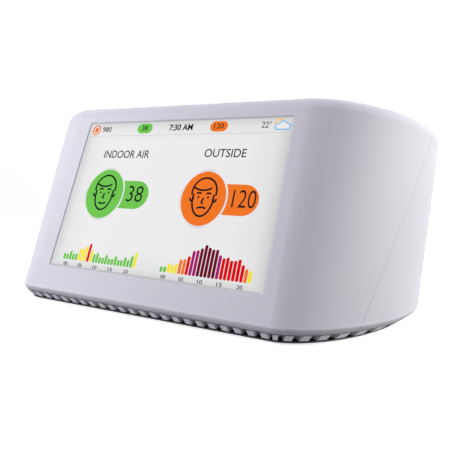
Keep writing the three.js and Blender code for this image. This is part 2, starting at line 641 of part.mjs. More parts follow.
function fanRotor() {
  const { radius, hub, height, bore, blades, bladeThickness, bladeTurn } = FAN;
  const top = height - 2 * GAP;
  const blade = (turn) => block([hub - bladeThickness / 2, radius], around(0, bladeThickness), [bladeThickness, top])
    .rotateZ(bladeTurn).translate(-0.6, -1.2, 0).rotateZ(turn);
  const vanes = Array.from({ length: blades }, (_, i) => blade((i / blades) * Math.PI * 2));
  return carve(
    [post(0, 0, 0, top, hub, SIDES.round), ...vanes], [post(0, 0, -PAST, height + PAST, bore, SIDES.round)]);
}

function sensorPieces(add) {
  const { x, y, bottom, wall } = DUST;
  add('dust_sensor_housing', dustSensorHousing(), FINISH.housing);
  add('dust_sensor_cover', dustSensorCover(), FINISH.cover);
  add('fan_rotor', fanRotor(), FINISH.rotor, [FAN.x, FAN.y, FAN.bottom]);
  const floor = bottom + wall + GAP;
  add('dust_sensor_board', block(
    around(0, DUST_BOARD.width), around(0, DUST_BOARD.depth), [0, DUST_BOARD.thickness]), FINISH.board,
  [x - DUST_BOARD.fromMiddle, y, floor]);
  add('laser_module', rod(0, 0, ...around(0, LASER.length), LASER.radius, SIDES.round), FINISH.brass,
    [x - LASER.fromMiddle, y - LASER.y, floor + LASER.lift]);
  add('light_detector', block(
    around(0, DETECTOR.width), around(0, DETECTOR.depth), [0, DETECTOR.height]), FINISH.chip,
  [x - DETECTOR.fromMiddle, y + DETECTOR.y, floor + DETECTOR.lift]);
  add('exhaust_duct', exhaustDuct(), FINISH.foam);
  add('sensor_cable', wire([
    [FAN.x, y - DUST.depth / 2 - GAP, 12], [FAN.x, y - DUST.depth / 2 - 4, 13], [-31, -20, 21],
    connectorEnd(CONNECTOR.sensor),
  ]), FINISH.cable);
  const co2Top = CO2.boardZ + POWER.thickness;
  add('co2_board', block(
    around(0, CO2.boardWidth), around(0, CO2.boardDepth), [0, POWER.thickness]), FINISH.board,
  [CO2.x, CO2.y, CO2.boardZ]);
  add('co2_sensor', facePlate(0, 0, CO2.width, CO2.depth, 2.5, 0, CO2.height).rotateX(Math.PI / 2),
    FINISH.brass, [CO2.x, CO2.y, co2Top + GAP]);
  add('climate_board', block([0, CLIMATE.thickness], around(0, CLIMATE.width), [0, CLIMATE.height]),
    FINISH.board, [CLIMATE.x, CLIMATE.y, CLIMATE.bottom]);
  add('climate_sensor', block([0, 1], around(0, CLIMATE.chip), around(0, CLIMATE.chip)), FINISH.chip,
    [CLIMATE.x + CLIMATE.thickness + GAP, CLIMATE.y, CLIMATE.bottom + CLIMATE.height - CLIMATE.chip]);
}

// Foam tube that carries the fan's air from the dust sensor to the vents in the back.
function exhaustDuct() {
  const { x, z, width, height, wall, back } = DUCT;
  const start = DUST.y + DUST.depth / 2 + GAP;
  const outer = block(around(x, width), [start, back], around(z, height));
  const bore = block(around(x, width - 2 * wall), [start - 1, back + 1], around(z, height - 2 * wall));
  return carve([outer], [bore]);
}

// ---------------------------------------------------------------- top buttons and antenna

const BUTTON_NAMES = ['button_left', 'button_power', 'button_right'];

function buttonCap() {
  const { radius, flange, flangeHeight, stem, stemBottom, flangeBottom, sunk } = BUTTON;
  const top = CASE.height - sunk;
  return turned([
    [0, stemBottom], [stem, stemBottom], [stem, flangeBottom], [flange, flangeBottom],
    [flange, flangeBottom + flangeHeight], [radius, flangeBottom + flangeHeight], [radius, top], [0, top],
  ], SIDES.fine);
}

function keySwitch() {
  const { size, height, plunger, plungerTop } = KEY;
  return carve([block(around(0, size), around(0, size), [0, height]), post(0, 0, 0, plungerTop, plunger)]);
}

function topPieces(add) {
  const { width, depth, bottom, thickness, postX } = BUTTON_BOARD;
  const holes = [-1, 1].map((side) => post(side * postX, 0, -1, thickness + 1, BORE, SIDES.bore));
  const board = block(around(0, width), around(0, depth), [0, thickness]);
  add('button_board', carve([board], holes), FINISH.board, [0, BUTTON.y, bottom]);
  buttonXs.forEach((x, i) => {
    add(BUTTON_NAMES[i], buttonCap(), FINISH.shell, [x, BUTTON.y, 0]);
    add(`key_switch_${i + 1}`, keySwitch(), FINISH.chip, [x, BUTTON.y, bottom + thickness + GAP]);
  });
  [-1, 1].forEach((side, i) => add(
    `button_board_screw_${i + 1}`, screwGeometry(SCREW_LENGTH.buttonBoard), FINISH.steel,
    [side * postX, BUTTON.y, bottom - GAP]));
  add('wifi_antenna', block(around(0, ANTENNA.width), around(0, ANTENNA.depth), [0, ANTENNA.thickness]),
    FINISH.ribbon, [0, ANTENNA.y, UNDER_TOP - GAP - ANTENNA.thickness]);
}

// ---------------------------------------------------------------- assembly

const monitor = new THREE.Group();
monitor.position.z = FOOT.proud;
monitor.add(face);

function addTo(group) {
  return (name, geometry, material, at = [0, 0, 0], turn = [0, 0, 0]) => {
    const mesh = new THREE.Mesh(geometry, material);
    mesh.name = name;
    mesh.position.set(...at);
    mesh.rotation.set(...turn);
    group.add(mesh);
  };
}

const addToCase = addTo(monitor);
const addToFace = addTo(face);

addToCase('front_shell', frontShell(), FINISH.shell);
addToCase('rear_shell', rearShell(), FINISH.shell);
basePieces(addToCase);
displayPieces(addToFace);
faceScrews(addToFace);
mainBoardPieces(addToFace);
powerPieces(addToCase);
sensorPieces(addToCase);
topPieces(addToCase);

const object = new THREE.Group();
object.add(monitor);

export default object;
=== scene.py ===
"""Looks of a desk air quality monitor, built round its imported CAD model.

Sizes are in millimetres above the underside of the base, as in the CAD source, and every mesh is
made in metres. The front faces -Y and Z is up.
"""

import math

import bmesh
import bpy
import numpy as np
from mathutils import Matrix, Vector


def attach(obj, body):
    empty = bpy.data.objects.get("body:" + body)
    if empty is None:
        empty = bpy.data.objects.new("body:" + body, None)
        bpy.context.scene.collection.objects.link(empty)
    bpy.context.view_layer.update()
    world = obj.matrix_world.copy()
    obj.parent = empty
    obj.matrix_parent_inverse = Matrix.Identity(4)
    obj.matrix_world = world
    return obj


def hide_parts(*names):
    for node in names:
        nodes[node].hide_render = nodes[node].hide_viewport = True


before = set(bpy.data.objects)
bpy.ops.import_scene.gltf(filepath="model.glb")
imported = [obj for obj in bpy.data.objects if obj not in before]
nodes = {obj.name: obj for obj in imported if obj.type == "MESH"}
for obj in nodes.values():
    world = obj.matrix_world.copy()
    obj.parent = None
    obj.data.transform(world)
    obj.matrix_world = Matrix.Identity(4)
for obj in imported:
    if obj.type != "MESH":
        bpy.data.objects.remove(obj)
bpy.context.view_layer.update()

# ---------------------------------------------------------------- driving dimensions, as in the CAD

MM = 0.001
LIFT = 0.8                                   # the feet raise the underside of the base by this much

WIDTH, WIDTH_TAPER = 184.2, 7.2
DEPTH, HEIGHT = 99.2, 82.2
FRONT_SLOPE = 0.29
FRONT_TILT = math.atan(FRONT_SLOPE)
FLAT_HALF_WIDTH = 50.5
FRONT_POWER, REAR_POWER = 1.7, 2.4
WIDEST_Y = DEPTH / 2 - 12.1
WALL, TOP_FILLET, INNER_FILLET = 2.4, 5.0, 3.0
LIP_TOP, LIP_RADIUS, LIP_TURN = 5.7, 2.6, math.pi / 3
SHELL_BOTTOM = LIP_TOP - LIP_RADIUS * math.sin(LIP_TURN)
PARTING_Y, PARTING_SLOPE = -28.6, 0.647
WINDOW_X, WINDOW_Z, WINDOW_W, WINDOW_H, WINDOW_CORNER = 1.25, 46.3, 90.8, 62.7, 0.8
BUTTON_SPACING, BUTTON_Y, BUTTON_RADIUS, BUTTON_HOLE, BUTTON_SIDES = 20, 6, 5.0, 5.4, 72
SLOT_PITCH, SLOT_REACH, FRONT_SLOTS, REAR_SLOTS = 4.6, 9.0, 37, 29
COVER_BOTTOM, COVER_TOP, COVER_INSET = 0.2, 0.8, 5.0
BASE_BOTTOM, BASE_TOP, BASE_FLOOR, RIM_TOP = 1.1, SHELL_BOTTOM - 0.3, 2.3, 6.6
BASE_BOTTOM_INSET, BASE_TOP_INSET, POCKET_INSET, RIM_INSET, RIM_WALL = 4.4, 1.6, 11.0, 2.9, 1.4
SCREW_SPOTS = ((-38, -35.5), (38, -35.5), (-60, 34), (60, 34))
SCREW_SEAT, SEAT_TOP, SCREW_BORE = 3.2, 1.8, 1.7
PAD_RADIUS, PAD_TOP = 3.6, 3.8
POWER_POST_X, POWER_POST_Y, POWER_POST_RADIUS, POWER_POST_TOP = 9, 32, 2.2, 8.3
GAS_X, GAS_Y, GAS_SPREAD, GAS_POST_RADIUS, GAS_POST_TOP = 36, 18, (17, 10), 2.0, 5.7
BATTERY_X, BATTERY_Y, STOP_SPREAD, STOP_TOP = 8, -12, (29.1, 11), 6.6
CLIMATE_X, CLIMATE_Y, RAIL_SPREAD, RAIL_TOP = 66, -9, 8.1, 9.5
STOP_WIDTH, STOP_LENGTH, RAIL_LENGTH = 1.6, 6, 4
FOOT_SPOTS, FOOT_RADIUS, FOOT_HOLE = ((-56, -27), (56, -27), (-70, 22), (70, 22)), 6.0, 6.3
VENT_START, VENTS, VENT_LOW, VENT_HIGH = 26, 8, 14, 34
USB_Z, USB_HOLE_W, USB_HOLE_H, USB_HOLE_CORNER = 11.9, 8.2, 3.4, 0.9

SEAM_GAP, SEAM_EDGE, SEAM_DROP = 0.10, 0.5, 0.12      # joint of the two shells
EDGE = 0.3                                            # small chamfer on openings


# ---------------------------------------------------------------- outline and skin of the case


def front_at(z):
    return -DEPTH / 2 + (z - LIP_TOP) * FRONT_SLOPE


def half_width_at(z):
    return (WIDTH - WIDTH_TAPER * (1 - z / HEIGHT)) / 2


def quarter(power, steps):
    """Superellipse quarter from (1, 0) to (0, 1)."""
    turn = np.linspace(0, math.pi / 2, steps + 1)
    return np.abs(np.cos(turn)) ** (2 / power), np.abs(np.sin(turn)) ** (2 / power)


def outline(z, inset, steps):
    """Closed outline of the case at height z, moved in by inset, anticlockwise from above."""
    half_width = half_width_at(z) - inset
    front = front_at(z) + inset
    back = DEPTH / 2 - inset
    across, along = (values[::-1] for values in quarter(FRONT_POWER, steps))
    corner = np.stack([
        FLAT_HALF_WIDTH + (half_width - FLAT_HALF_WIDTH) * across,
        WIDEST_Y + (front - WIDEST_Y) * along], 1)
    across, along = (values[1:] for values in quarter(REAR_POWER, steps))
    rear = np.stack([half_width * across, WIDEST_Y + (back - WIDEST_Y) * along], 1)
    right = np.concatenate([corner, rear])
    return np.concatenate([right, right[:-1][::-1] * (-1, 1)])


def skin_inset(z):
    """How far the skin is moved in from the plain wall at height z."""
    rise = np.clip((z - HEIGHT + TOP_FILLET) / TOP_FILLET, 0, 1)
    drop = np.clip((LIP_TOP - z) / LIP_RADIUS, 0, 1)
    return TOP_FILLET * (1 - np.sqrt(1 - rise ** 2)) + LIP_RADIUS * (1 - np.sqrt(1 - drop ** 2))


def skin_value(at):
    """Below zero inside the skin, zero on it and above zero outside it, for points in rows."""
    x, y, z = at.T
    inset = skin_inset(z)
    half_width = half_width_at(z) - inset
    reach = np.where(y > WIDEST_Y, DEPTH / 2 - inset - WIDEST_Y, WIDEST_Y - front_at(z) - inset)
    along = np.abs(y - WIDEST_Y) / reach
    rear = (np.abs(x) / half_width) ** REAR_POWER + along ** REAR_POWER
    sweep = np.clip(np.abs(x) - FLAT_HALF_WIDTH, 0, None) / (half_width - FLAT_HALF_WIDTH)
    return np.where(y > WIDEST_Y, rear, sweep ** FRONT_POWER + along ** FRONT_POWER) - 1


def skin_at(at):
    """Distance in millimetres from the skin and the skin's unit normal, for points in rows."""
    step = 1e-3
    slope = np.stack([
        (skin_value(at + shift) - skin_value(at - shift)) / (2 * step) for shift in np.eye(3) * step], 1)
    steepness = np.linalg.norm(slope, axis=1)
    distance = np.abs(skin_value(at)) / steepness
    normal = slope / steepness[:, None]
    on_top = at[:, 2] > HEIGHT - 1e-3
    normal[on_top] = (0, 0, 1)
    distance[on_top] = 0
    return distance, normal


# ---------------------------------------------------------------- mesh helpers


def joined(parts):
    """Several (points, faces) pairs as one pair."""
    points, faces = [], []
    for some_points, some_faces in parts:
        start = len(points)
        points += [tuple(point) for point in some_points]
        faces += [tuple(start + i for i in face) for face in some_faces]
    return points, faces


def new_mesh(name, shape, place=Matrix.Identity(4)):
    """Mesh in metres from (points, faces) in millimetres, after the placing matrix."""
    lift = Vector((0, 0, LIFT))
    mesh = bpy.data.meshes.new(name)
    mesh.from_pydata([(place @ Vector(point) + lift) * MM for point in shape[0]], [], shape[1])
    work = bmesh.new()
    work.from_mesh(mesh)
    bmesh.ops.recalc_face_normals(work, faces=work.faces)
    work.to_mesh(mesh)
    work.free()
    return mesh


def add_piece(name, mesh, material, body="case", replaced=()):
    """Links a mesh as a piece that rides on a body and stands for the CAD nodes it replaces."""
    piece = bpy.data.objects.new(name, mesh)
    bpy.context.scene.collection.objects.link(piece)
    mesh.materials.clear()
    mesh.materials.append(material)
    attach(piece, body)
    if replaced:
        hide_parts(*replaced)
    return piece


def ring_stack(rings):
    """Closed solid through rings of points, with a flat cap at each end."""
    count = len(rings[0])
    points = [tuple(point) for ring in rings for point in ring]
    last = (len(rings) - 1) * count
    faces = [tuple(range(count))[::-1], tuple(range(last, last + count))]
    for row in range(0, last, count):
        for i in range(count):
            j = (i + 1) % count
            faces.append((row + i, row + j, row + count + j, row + count + i))
    return points, faces


def case_loft(levels, steps):
    """Closed solid through case outlines at [z, inset] levels."""
    return ring_stack([[(x, y, z) for x, y in outline(z, inset, steps)] for z, inset in levels])


def prism(points, low, high):
    """Upright solid over a polygon."""
    return ring_stack([[(x, y, z) for x, y in points] for z in (low, high)])


def circle(radius, sides, x=0.0, y=0.0):
    turns = np.linspace(0, 2 * math.pi, sides, endpoint=False)
    return [(x + radius * math.cos(turn), y + radius * math.sin(turn)) for turn in turns]


def turned(profile, sides, x=0.0, y=0.0):
    """Solid of revolution about a vertical axis through [radius, z] levels."""
    smallest = 0.01
    return ring_stack([
        [(px, py, z) for px, py in circle(max(radius, smallest), sides, x, y)] for radius, z in profile])


def column(radius, low, high, sides, x, y):
    """Upright cylinder between two heights."""
    return turned([(radius, low), (radius, high)], sides, x, y)


def rounded_rectangle(width, height, corner, steps=6):
    """Anticlockwise points of a rectangle with round corners about the origin."""
    points = []
    for index, (sx, sy) in enumerate(((1, 1), (-1, 1), (-1, -1), (1, -1))):
        for turn in np.linspace(0, math.pi / 2, steps + 1) + index * math.pi / 2:
            points.append((
                sx * (width / 2 - corner) + corner * math.cos(turn),
                sy * (height / 2 - corner) + corner * math.sin(turn)))
    return points


def cut(mesh, tool_shapes, operation="DIFFERENCE"):
    """The mesh with the tools' volumes taken out, or added."""
    body = bpy.data.objects.new("cut_body", mesh)
    cutter = bpy.data.objects.new("cutter", new_mesh("cutter", joined(tool_shapes)))
    for item in (body, cutter):
        bpy.context.scene.collection.objects.link(item)
    boolean = body.modifiers.new("cut", "BOOLEAN")
    boolean.operation = operation
    boolean.solver = "MANIFOLD"
    boolean.object = cutter
    made = bpy.data.meshes.new_from_object(body.evaluated_get(bpy.context.evaluated_depsgraph_get()))
    for item in (body, cutter):
        bpy.data.objects.remove(item)
    return made


def shade_by_angle(piece, degrees=30):
    """Smooth shading that keeps edges sharper than the angle."""
    for polygon in piece.data.polygons:
        polygon.use_smooth = True
    piece.data.set_sharp_from_angle(angle=math.radians(degrees))
    return piece


# ---------------------------------------------------------------- tilted front frame

# In this frame x runs across the front, y up its slope and z out of the case, from the window's middle.
FACE = Matrix.Translation((
    WINDOW_X,
    front_at(0) + WINDOW_Z * math.sin(FRONT_TILT),
    WINDOW_Z * math.cos(FRONT_TILT))) @ Matrix.Rotation(math.pi / 2 - FRONT_TILT, 4, "X")


def in_face_frame(shape):
    points, faces = shape
    return [tuple(FACE @ Vector(point)) for point in points], faces


# ---------------------------------------------------------------- shells


def shell_levels():
    """[z, inset] down the outside of the case, round its lower edge and up the inside."""
    arc = np.linspace(0, math.pi / 2, 15)
    top = [(HEIGHT - TOP_FILLET * (1 - math.cos(t)), TOP_FILLET * (1 - math.sin(t))) for t in arc]
    wall = [(z, 0) for z in np.linspace(HEIGHT - TOP_FILLET, LIP_TOP, 18)[1:]]
    lip_turns = np.linspace(0, LIP_TURN, 9)[1:]
    lip = [(LIP_TOP - LIP_RADIUS * math.sin(t), LIP_RADIUS * (1 - math.cos(t))) for t in lip_turns]
    ceiling = HEIGHT - WALL
    inside = [(SHELL_BOTTOM, WALL), (ceiling - INNER_FILLET, WALL)]
    inside += [(ceiling - INNER_FILLET * (1 - math.sin(t)), WALL + INNER_FILLET * (1 - math.cos(t)))
               for t in np.linspace(0, math.pi / 2, 5)[1:]]
    return top + wall + lip + inside


def parting_distance(at):
    """Signed distance in millimetres behind the leaning joint of the shells, for points in rows."""
    return (at[:, 1] - PARTING_Y - PARTING_SLOPE * at[:, 2]) / math.hypot(1, PARTING_SLOPE)


def score_near_joint(mesh):
    """Adds a line of edges on each side of the joint, where its softened strip starts."""
    work = bmesh.new()
    work.from_mesh(mesh)
    normal = Vector((0, 1, -PARTING_SLOPE)).normalized()
    for side in (-1, 1):
        through = Vector((0, PARTING_Y, LIFT)) * MM + normal * side * (SEAM_GAP / 2 + SEAM_EDGE) * MM
        geometry = work.verts[:] + work.edges[:] + work.faces[:]
        bmesh.ops.bisect_plane(work, geom=geometry, dist=1e-8, plane_co=through, plane_no=normal)
    work.to_mesh(mesh)
    work.free()
    return mesh


def half_space(side):
    """Block that holds everything past the joint on one side, up to half the gap before it."""
    reach = 200
    shift = -side * SEAM_GAP / 2 * math.hypot(1, PARTING_SLOPE)
    near = [(y, z) for z in (-reach, reach) for y in [PARTING_Y + PARTING_SLOPE * z + shift]]
    profile = [near[0], (side * 2 * reach, -reach), (side * 2 * reach, reach), near[1]]
    return ring_stack([[(x, y, z) for y, z in profile] for x in (-reach, reach)])


def points_of(mesh):
    flat = np.empty(len(mesh.vertices) * 3)
    mesh.vertices.foreach_get("co", flat)
    return flat.reshape(-1, 3) / MM - (0, 0, LIFT)


def finish_skin(mesh):
    """Softens the joint's edge, then gives the outer faces the exact normals of the skin."""
    close, closer, agreement = 0.03, 0.01, 0.8
    at = points_of(mesh)
    distance, normal = skin_at(at)
    near_skin = distance < close
    edge = near_skin & (np.abs(parting_distance(at)) < SEAM_GAP / 2 + closer)
    for i in np.flatnonzero(edge):
        mesh.vertices[i].co -= Vector(normal[i]) * SEAM_DROP * MM
    smooth = near_skin & ~edge
    mesh.update()
    corner_normals = []
    for polygon in mesh.polygons:
        polygon.use_smooth = True
        flat = polygon.normal.copy()
        for i in polygon.vertices:
            exact = Vector(normal[i])
            corner_normals.append(exact if smooth[i] and exact.dot(flat) > agreement else flat)
    mesh.normals_split_custom_set(corner_normals)
    return mesh


def window_cutter():
    """Opening of the display, with a small chamfer at the front."""
    rings = []
    for grow, out in ((EDGE + 2, 2), (0, -EDGE), (0, -4)):
        ring = rounded_rectangle(WINDOW_W + 2 * grow, WINDOW_H + 2 * grow, WINDOW_CORNER + grow)
        rings.append([(x, y, out) for x, y in ring])
    return in_face_frame(ring_stack(rings[::-1]))


def button_cutter(x):
    """Round hole of a button, with a small chamfer at the top."""
    soft, past = 0.35, 1
    profile = [
        (BUTTON_HOLE, HEIGHT - WALL - past),
        (BUTTON_HOLE, HEIGHT - soft),
        (BUTTON_HOLE + soft + past, HEIGHT + past)]
    return turned(profile, BUTTON_SIDES, x, BUTTON_Y)


def socket_cutter():
    """Opening of the power socket in the back."""
    ring = rounded_rectangle(USB_HOLE_W, USB_HOLE_H, USB_HOLE_CORNER)
    return ring_stack([[(x, y, USB_Z + z) for x, z in ring] for y in (60, 40)])


def vent_cutters():
    """Upright slots with round ends, left and right of the middle of the back."""
    cutters = []
    for side in (-1, 1):
        for i in range(VENTS):
            middle = side * (VENT_START + i * SLOT_PITCH)
            ring = rounded_rectangle(SLOT_PITCH / 2, VENT_HIGH - VENT_LOW, SLOT_PITCH / 4 - 0.01)
            height = (VENT_LOW + VENT_HIGH) / 2
            cutters.append(ring_stack([[(middle + x, y, height + z) for x, z in ring] for y in (60, 30)]))
    return cutters


def add_shells(material):
    whole = score_near_joint(new_mesh("case", case_loft(shell_levels(), 64)))
    buttons = [button_cutter(side * BUTTON_SPACING) for side in (-1, 0, 1)]
    front = cut(whole.copy(), [half_space(1), window_cutter(), *buttons])
    rear = cut(whole.copy(), [half_space(-1), socket_cutter(), *vent_cutters()])
    add_piece("front_case_shell", finish_skin(front), material, replaced=["front_shell"])
    add_piece("rear_case_shell", finish_skin(rear), material, replaced=["rear_shell"])


# ---------------------------------------------------------------- base


def edge_point(x, rear):
    """Point on the outline at the table, and the unit normal into the case."""
    half_width = half_width_at(0)
    start, power, end = (0, REAR_POWER, DEPTH / 2) if rear else (FLAT_HALF_WIDTH, FRONT_POWER, front_at(0))
    across = max(0, abs(x) - start) / (half_width - start)
    along = (1 - across ** power) ** (1 / power)
    inward_x = -math.copysign(across ** (power - 1) / (half_width - start), x)
    inward_y = -along ** (power - 1) / (end - WIDEST_Y)
    return Vector((x, WIDEST_Y + (end - WIDEST_Y) * along)), Vector((inward_x, inward_y)).normalized()


def slot_cutter(x, rear):
    """Wedge between two lines square to the outline, half a pitch apart."""
    outside = -3
    sides = [edge_point(x + side * SLOT_PITCH / 4, rear) for side in (-1, 1)]
    ring = [at + inward * reach for (at, inward), reach in zip(
        (sides[0], sides[1], sides[1], sides[0]), (outside, outside, SLOT_REACH, SLOT_REACH))]
    return prism([tuple(point) for point in ring], BASE_BOTTOM - 1, BASE_TOP + 1)


def slot_cutters():
    return [slot_cutter((i - (count - 1) / 2) * SLOT_PITCH, rear)
            for count, rear in ((FRONT_SLOTS, False), (REAR_SLOTS, True)) for i in range(count)]


def corners(x, y):
    return [(-x, -y), (x, -y), (-x, y), (x, y)]


def block(x, y, width, depth, low, high):
    return prism([(x + px, y + py) for px, py in rounded_rectangle(width, depth, 0.3, 3)], low, high)


def base_supports():
    """What stands on the base's floor: screw pads, posts for the boards, stops and rails."""
    low = (BASE_BOTTOM + BASE_FLOOR) / 2
    pads = [column(PAD_RADIUS, low, PAD_TOP, 32, x, y) for x, y in SCREW_SPOTS]
    power_posts = [column(POWER_POST_RADIUS, low, POWER_POST_TOP, 24, x, POWER_POST_Y)
                   for x in (-POWER_POST_X, POWER_POST_X)]
    gas_posts = [column(GAS_POST_RADIUS, low, GAS_POST_TOP, 24, GAS_X + x, GAS_Y + y)
                 for x, y in corners(*GAS_SPREAD)]
    stops = [block(BATTERY_X + x, BATTERY_Y + y, STOP_WIDTH, STOP_LENGTH, low, STOP_TOP)
             for x, y in corners(*STOP_SPREAD)]
    rails = [block(CLIMATE_X, CLIMATE_Y + y, RAIL_LENGTH, STOP_WIDTH, low, RAIL_TOP)
             for y in (-RAIL_SPREAD, RAIL_SPREAD)]
    return [*pads, *power_posts, *gas_posts, *stops, *rails]


def add_base(material):
    """Slotted ring with its floor, rim and supports."""
    past, sunk = 2, 0.5
    levels = [(BASE_BOTTOM, BASE_BOTTOM_INSET), (BASE_TOP, BASE_TOP_INSET)]
    pocket = case_loft([(BASE_FLOOR, POCKET_INSET), (BASE_TOP + past, POCKET_INSET)], 16)
    inner = RIM_INSET + RIM_WALL
    rim = cut(new_mesh("rim", case_loft([(BASE_TOP - sunk, RIM_INSET), (RIM_TOP, RIM_INSET)], 32)),
              [case_loft([(BASE_TOP - past, inner), (RIM_TOP + past, inner)], 32)])
    base = cut(new_mesh("slotted_base", case_loft(levels, 48)), [pocket])
    base = cut(base, [shape_of(rim)], "UNION")
    base = cut(base, base_supports(), "UNION")
    seats = [column(SCREW_SEAT, 0, SEAT_TOP, 32, x, y) for x, y in SCREW_SPOTS]
    bores = [column(SCREW_BORE, 1, PAD_TOP + past, 24, x, y) for x, y in SCREW_SPOTS]
    base = cut(cut(base, seats), bores)
    base = cut(base, slot_cutters())
    base.name = "slotted_base"
    piece = add_piece(base.name, base, material, replaced=["base_plate"])
    shade_by_angle(piece, 25)


def shape_of(mesh):
    """(points, faces) in millimetres of a mesh made here."""
    points = [tuple(point) for point in points_of(mesh)]
    return points, [tuple(polygon.vertices) for polygon in mesh.polygons]


def add_cover(material):
    """Thin black plate under the slots, with holes for the screws and the feet."""
    soft, taper = 0.1, 0.3
    levels = [(COVER_BOTTOM, COVER_INSET + taper + soft), (COVER_BOTTOM + soft, COVER_INSET + taper),
              (COVER_TOP - soft, COVER_INSET), (COVER_TOP, COVER_INSET + soft)]
    holes = [column(SCREW_SEAT, -1, 2, 32, x, y) for x, y in SCREW_SPOTS]
    holes += [column(FOOT_HOLE, -1, 2, 48, x, y) for x, y in FOOT_SPOTS]
    plate = cut(new_mesh("bottom_plate", case_loft(levels, 48)), holes)
    plate.name = "bottom_plate"
    shade_by_angle(add_piece(plate.name, plate, material, replaced=["bottom_cover"]))


# ---------------------------------------------------------------- materials

SHELL_WHITE = (0.64, 0.632, 0.695)
ROOM_SHARE, GLOW = 0.3, 0.8                            # of the display's colours

# Painted light on the shells and the base by height, from the table up: painted highlight on the fins,
# painted shade on the rolled lip, a painted highlight line at its upper edge, then the plain wall.
PAINTED_LIGHT_TOP = 10
PAINTED_LIGHT_BY_HEIGHT = ((0.28, 1.25), (0.34, 0.62), (0.50, 0.72), (0.56, 1.06), (0.66, 1.0))


class Nodes:
    """A material's node tree, with short ways to add and join its nodes."""

    def __init__(self, name, colour, roughness, metallic=0.0):
        self.material = bpy.data.materials.new(name)
        self.material.use_nodes = True
        self.tree = self.material.node_tree
        self.surface = self.tree.nodes["Principled BSDF"]
        self.set(Base_Color=(*colour, 1), Roughness=roughness, Metallic=metallic)
        self.where = self.tree.nodes.new("ShaderNodeTexCoord").outputs["Object"]

    def set(self, **sockets):
        for name, value in sockets.items():
            self.surface.inputs[name.replace("_", " ")].default_value = value

    def add(self, kind, inputs=None, **settings):
        node = self.tree.nodes.new("ShaderNode" + kind)
        for name, value in settings.items():
            setattr(node, name, value)
        for name, value in (inputs or {}).items():
            if isinstance(value, bpy.types.NodeSocket):
                self.tree.links.new(value, node.inputs[name])
            else:
                node.inputs[name].default_value = value
        return node

    def noise(self, scale, detail=2.0, stretch=(1, 1, 1)):
        spread = self.add("Mapping", {"Vector": self.where, "Scale": stretch})
        inputs = {"Vector": spread.outputs[0], "Scale": scale, "Detail": detail}
        return self.add("TexNoise", inputs).outputs["Fac"]

    def ramp(self, factor, *stops):
        """Colour ramp through (place, colour) stops."""
        node = self.add("ValToRGB", {"Fac": factor})
        elements = node.color_ramp.elements
        while len(elements) < len(stops):
            elements.new(0.5)
        for element, (place, colour) in zip(elements, stops):
            element.position = place
            element.color = (*colour, 1)
        return node.outputs["Color"]

    def tint(self, factor, low, high, spread=0.25):
        """Base colour between two shades, along a noise."""
        self.link(self.ramp(factor, (0.5 - spread, low), (0.5 + spread, high)), "Base Color")

    def rough(self, factor, low, high):
        span = self.add("MapRange", {"Value": factor, "To Min": low, "To Max": high})
        self.link(span.outputs[0], "Roughness")

    def bump(self, height, depth, strength=1.0):
        """Relief of the given depth in millimetres."""
        inputs = {"Height": height, "Distance": depth * MM, "Strength": strength}
        self.link(self.add("Bump", inputs).outputs[0], "Normal")

    def link(self, output, socket):
        self.tree.links.new(output, self.surface.inputs[socket])


def shade(colour, factor):
    return tuple(min(1.0, channel * factor) for channel in colour)


def moulded(name, colour, roughness, grain=0.012):
    """Moulded plastic: fine spark-eroded grain and a faint unevenness of shade and gloss."""
    nodes_of = Nodes(name, colour, roughness)
    cloud = nodes_of.noise(45)
    nodes_of.tint(cloud, shade(colour, 0.985), shade(colour, 1.01))
    nodes_of.rough(cloud, roughness - 0.04, roughness + 0.04)
    nodes_of.bump(nodes_of.noise(3200, 3), grain)
    return nodes_of


def shell_plastic_with_painted_light(name, colour, roughness):
    """Shell finish with a painted highlight on the fins and painted shade on the rolled lip just above the
    base.
    """
    nodes_of = moulded(name, colour, roughness)
    height = nodes_of.add("SeparateXYZ", {"Vector": nodes_of.where}).outputs["Z"]
    low, high = ((level + LIFT) * MM for level in (0, PAINTED_LIGHT_TOP))
    share = nodes_of.add("MapRange", {"Value": height, "From Min": low, "From Max": high}).outputs[0]
    # Painted light by height: fins lightened, the rolled lip darkened as painted shade, and a painted
    # highlight line along its upper edge.
    stops = [(place, shade(colour, factor)) for place, factor in PAINTED_LIGHT_BY_HEIGHT]
    nodes_of.link(nodes_of.ramp(share, *stops), "Base Color")
    return nodes_of


def brushed(name, colour, roughness, stretch=(1, 30, 30)):
    """Pressed or turned metal with fine drawn lines."""
    nodes_of = Nodes(name, colour, roughness, 1.0)
    lines = nodes_of.noise(700, 3, stretch)
    nodes_of.tint(lines, shade(colour, 0.85), shade(colour, 1.1))
    nodes_of.rough(lines, roughness - 0.08, roughness + 0.12)
    nodes_of.bump(lines, 0.01)
    return nodes_of


def circuit_board(name, colour):
    """Solder mask over raised copper tracks, with gold pads."""
    nodes_of = Nodes(name, colour, 0.35)
    inputs = {"Vector": nodes_of.where, "Scale": 420.0, "Mortar Size": 0.03, "Color1": (0, 0, 0, 1),
              "Color2": (0.25, 0.25, 0.25, 1), "Mortar": (1, 1, 1, 1)}
    tracks = nodes_of.add("TexBrick", inputs).outputs["Color"]
    pads = nodes_of.add("TexVoronoi", {"Vector": nodes_of.where, "Scale": 380.0}).outputs["Distance"]
    mask = nodes_of.ramp(tracks, (0.1, shade(colour, 0.8)), (0.9, shade(colour, 1.6)))
    gold = nodes_of.ramp(pads, (0.10, (1, 1, 1)), (0.12, (0, 0, 0)))
    mix = nodes_of.add("Mix", data_type="RGBA")
    nodes_of.tree.links.new(gold, mix.inputs["Factor"])
    nodes_of.tree.links.new(mask, mix.inputs[6])
    mix.inputs[7].default_value = (0.75, 0.55, 0.2, 1)
    nodes_of.link(mix.outputs[2], "Base Color")
    nodes_of.bump(tracks, 0.03)
    return nodes_of


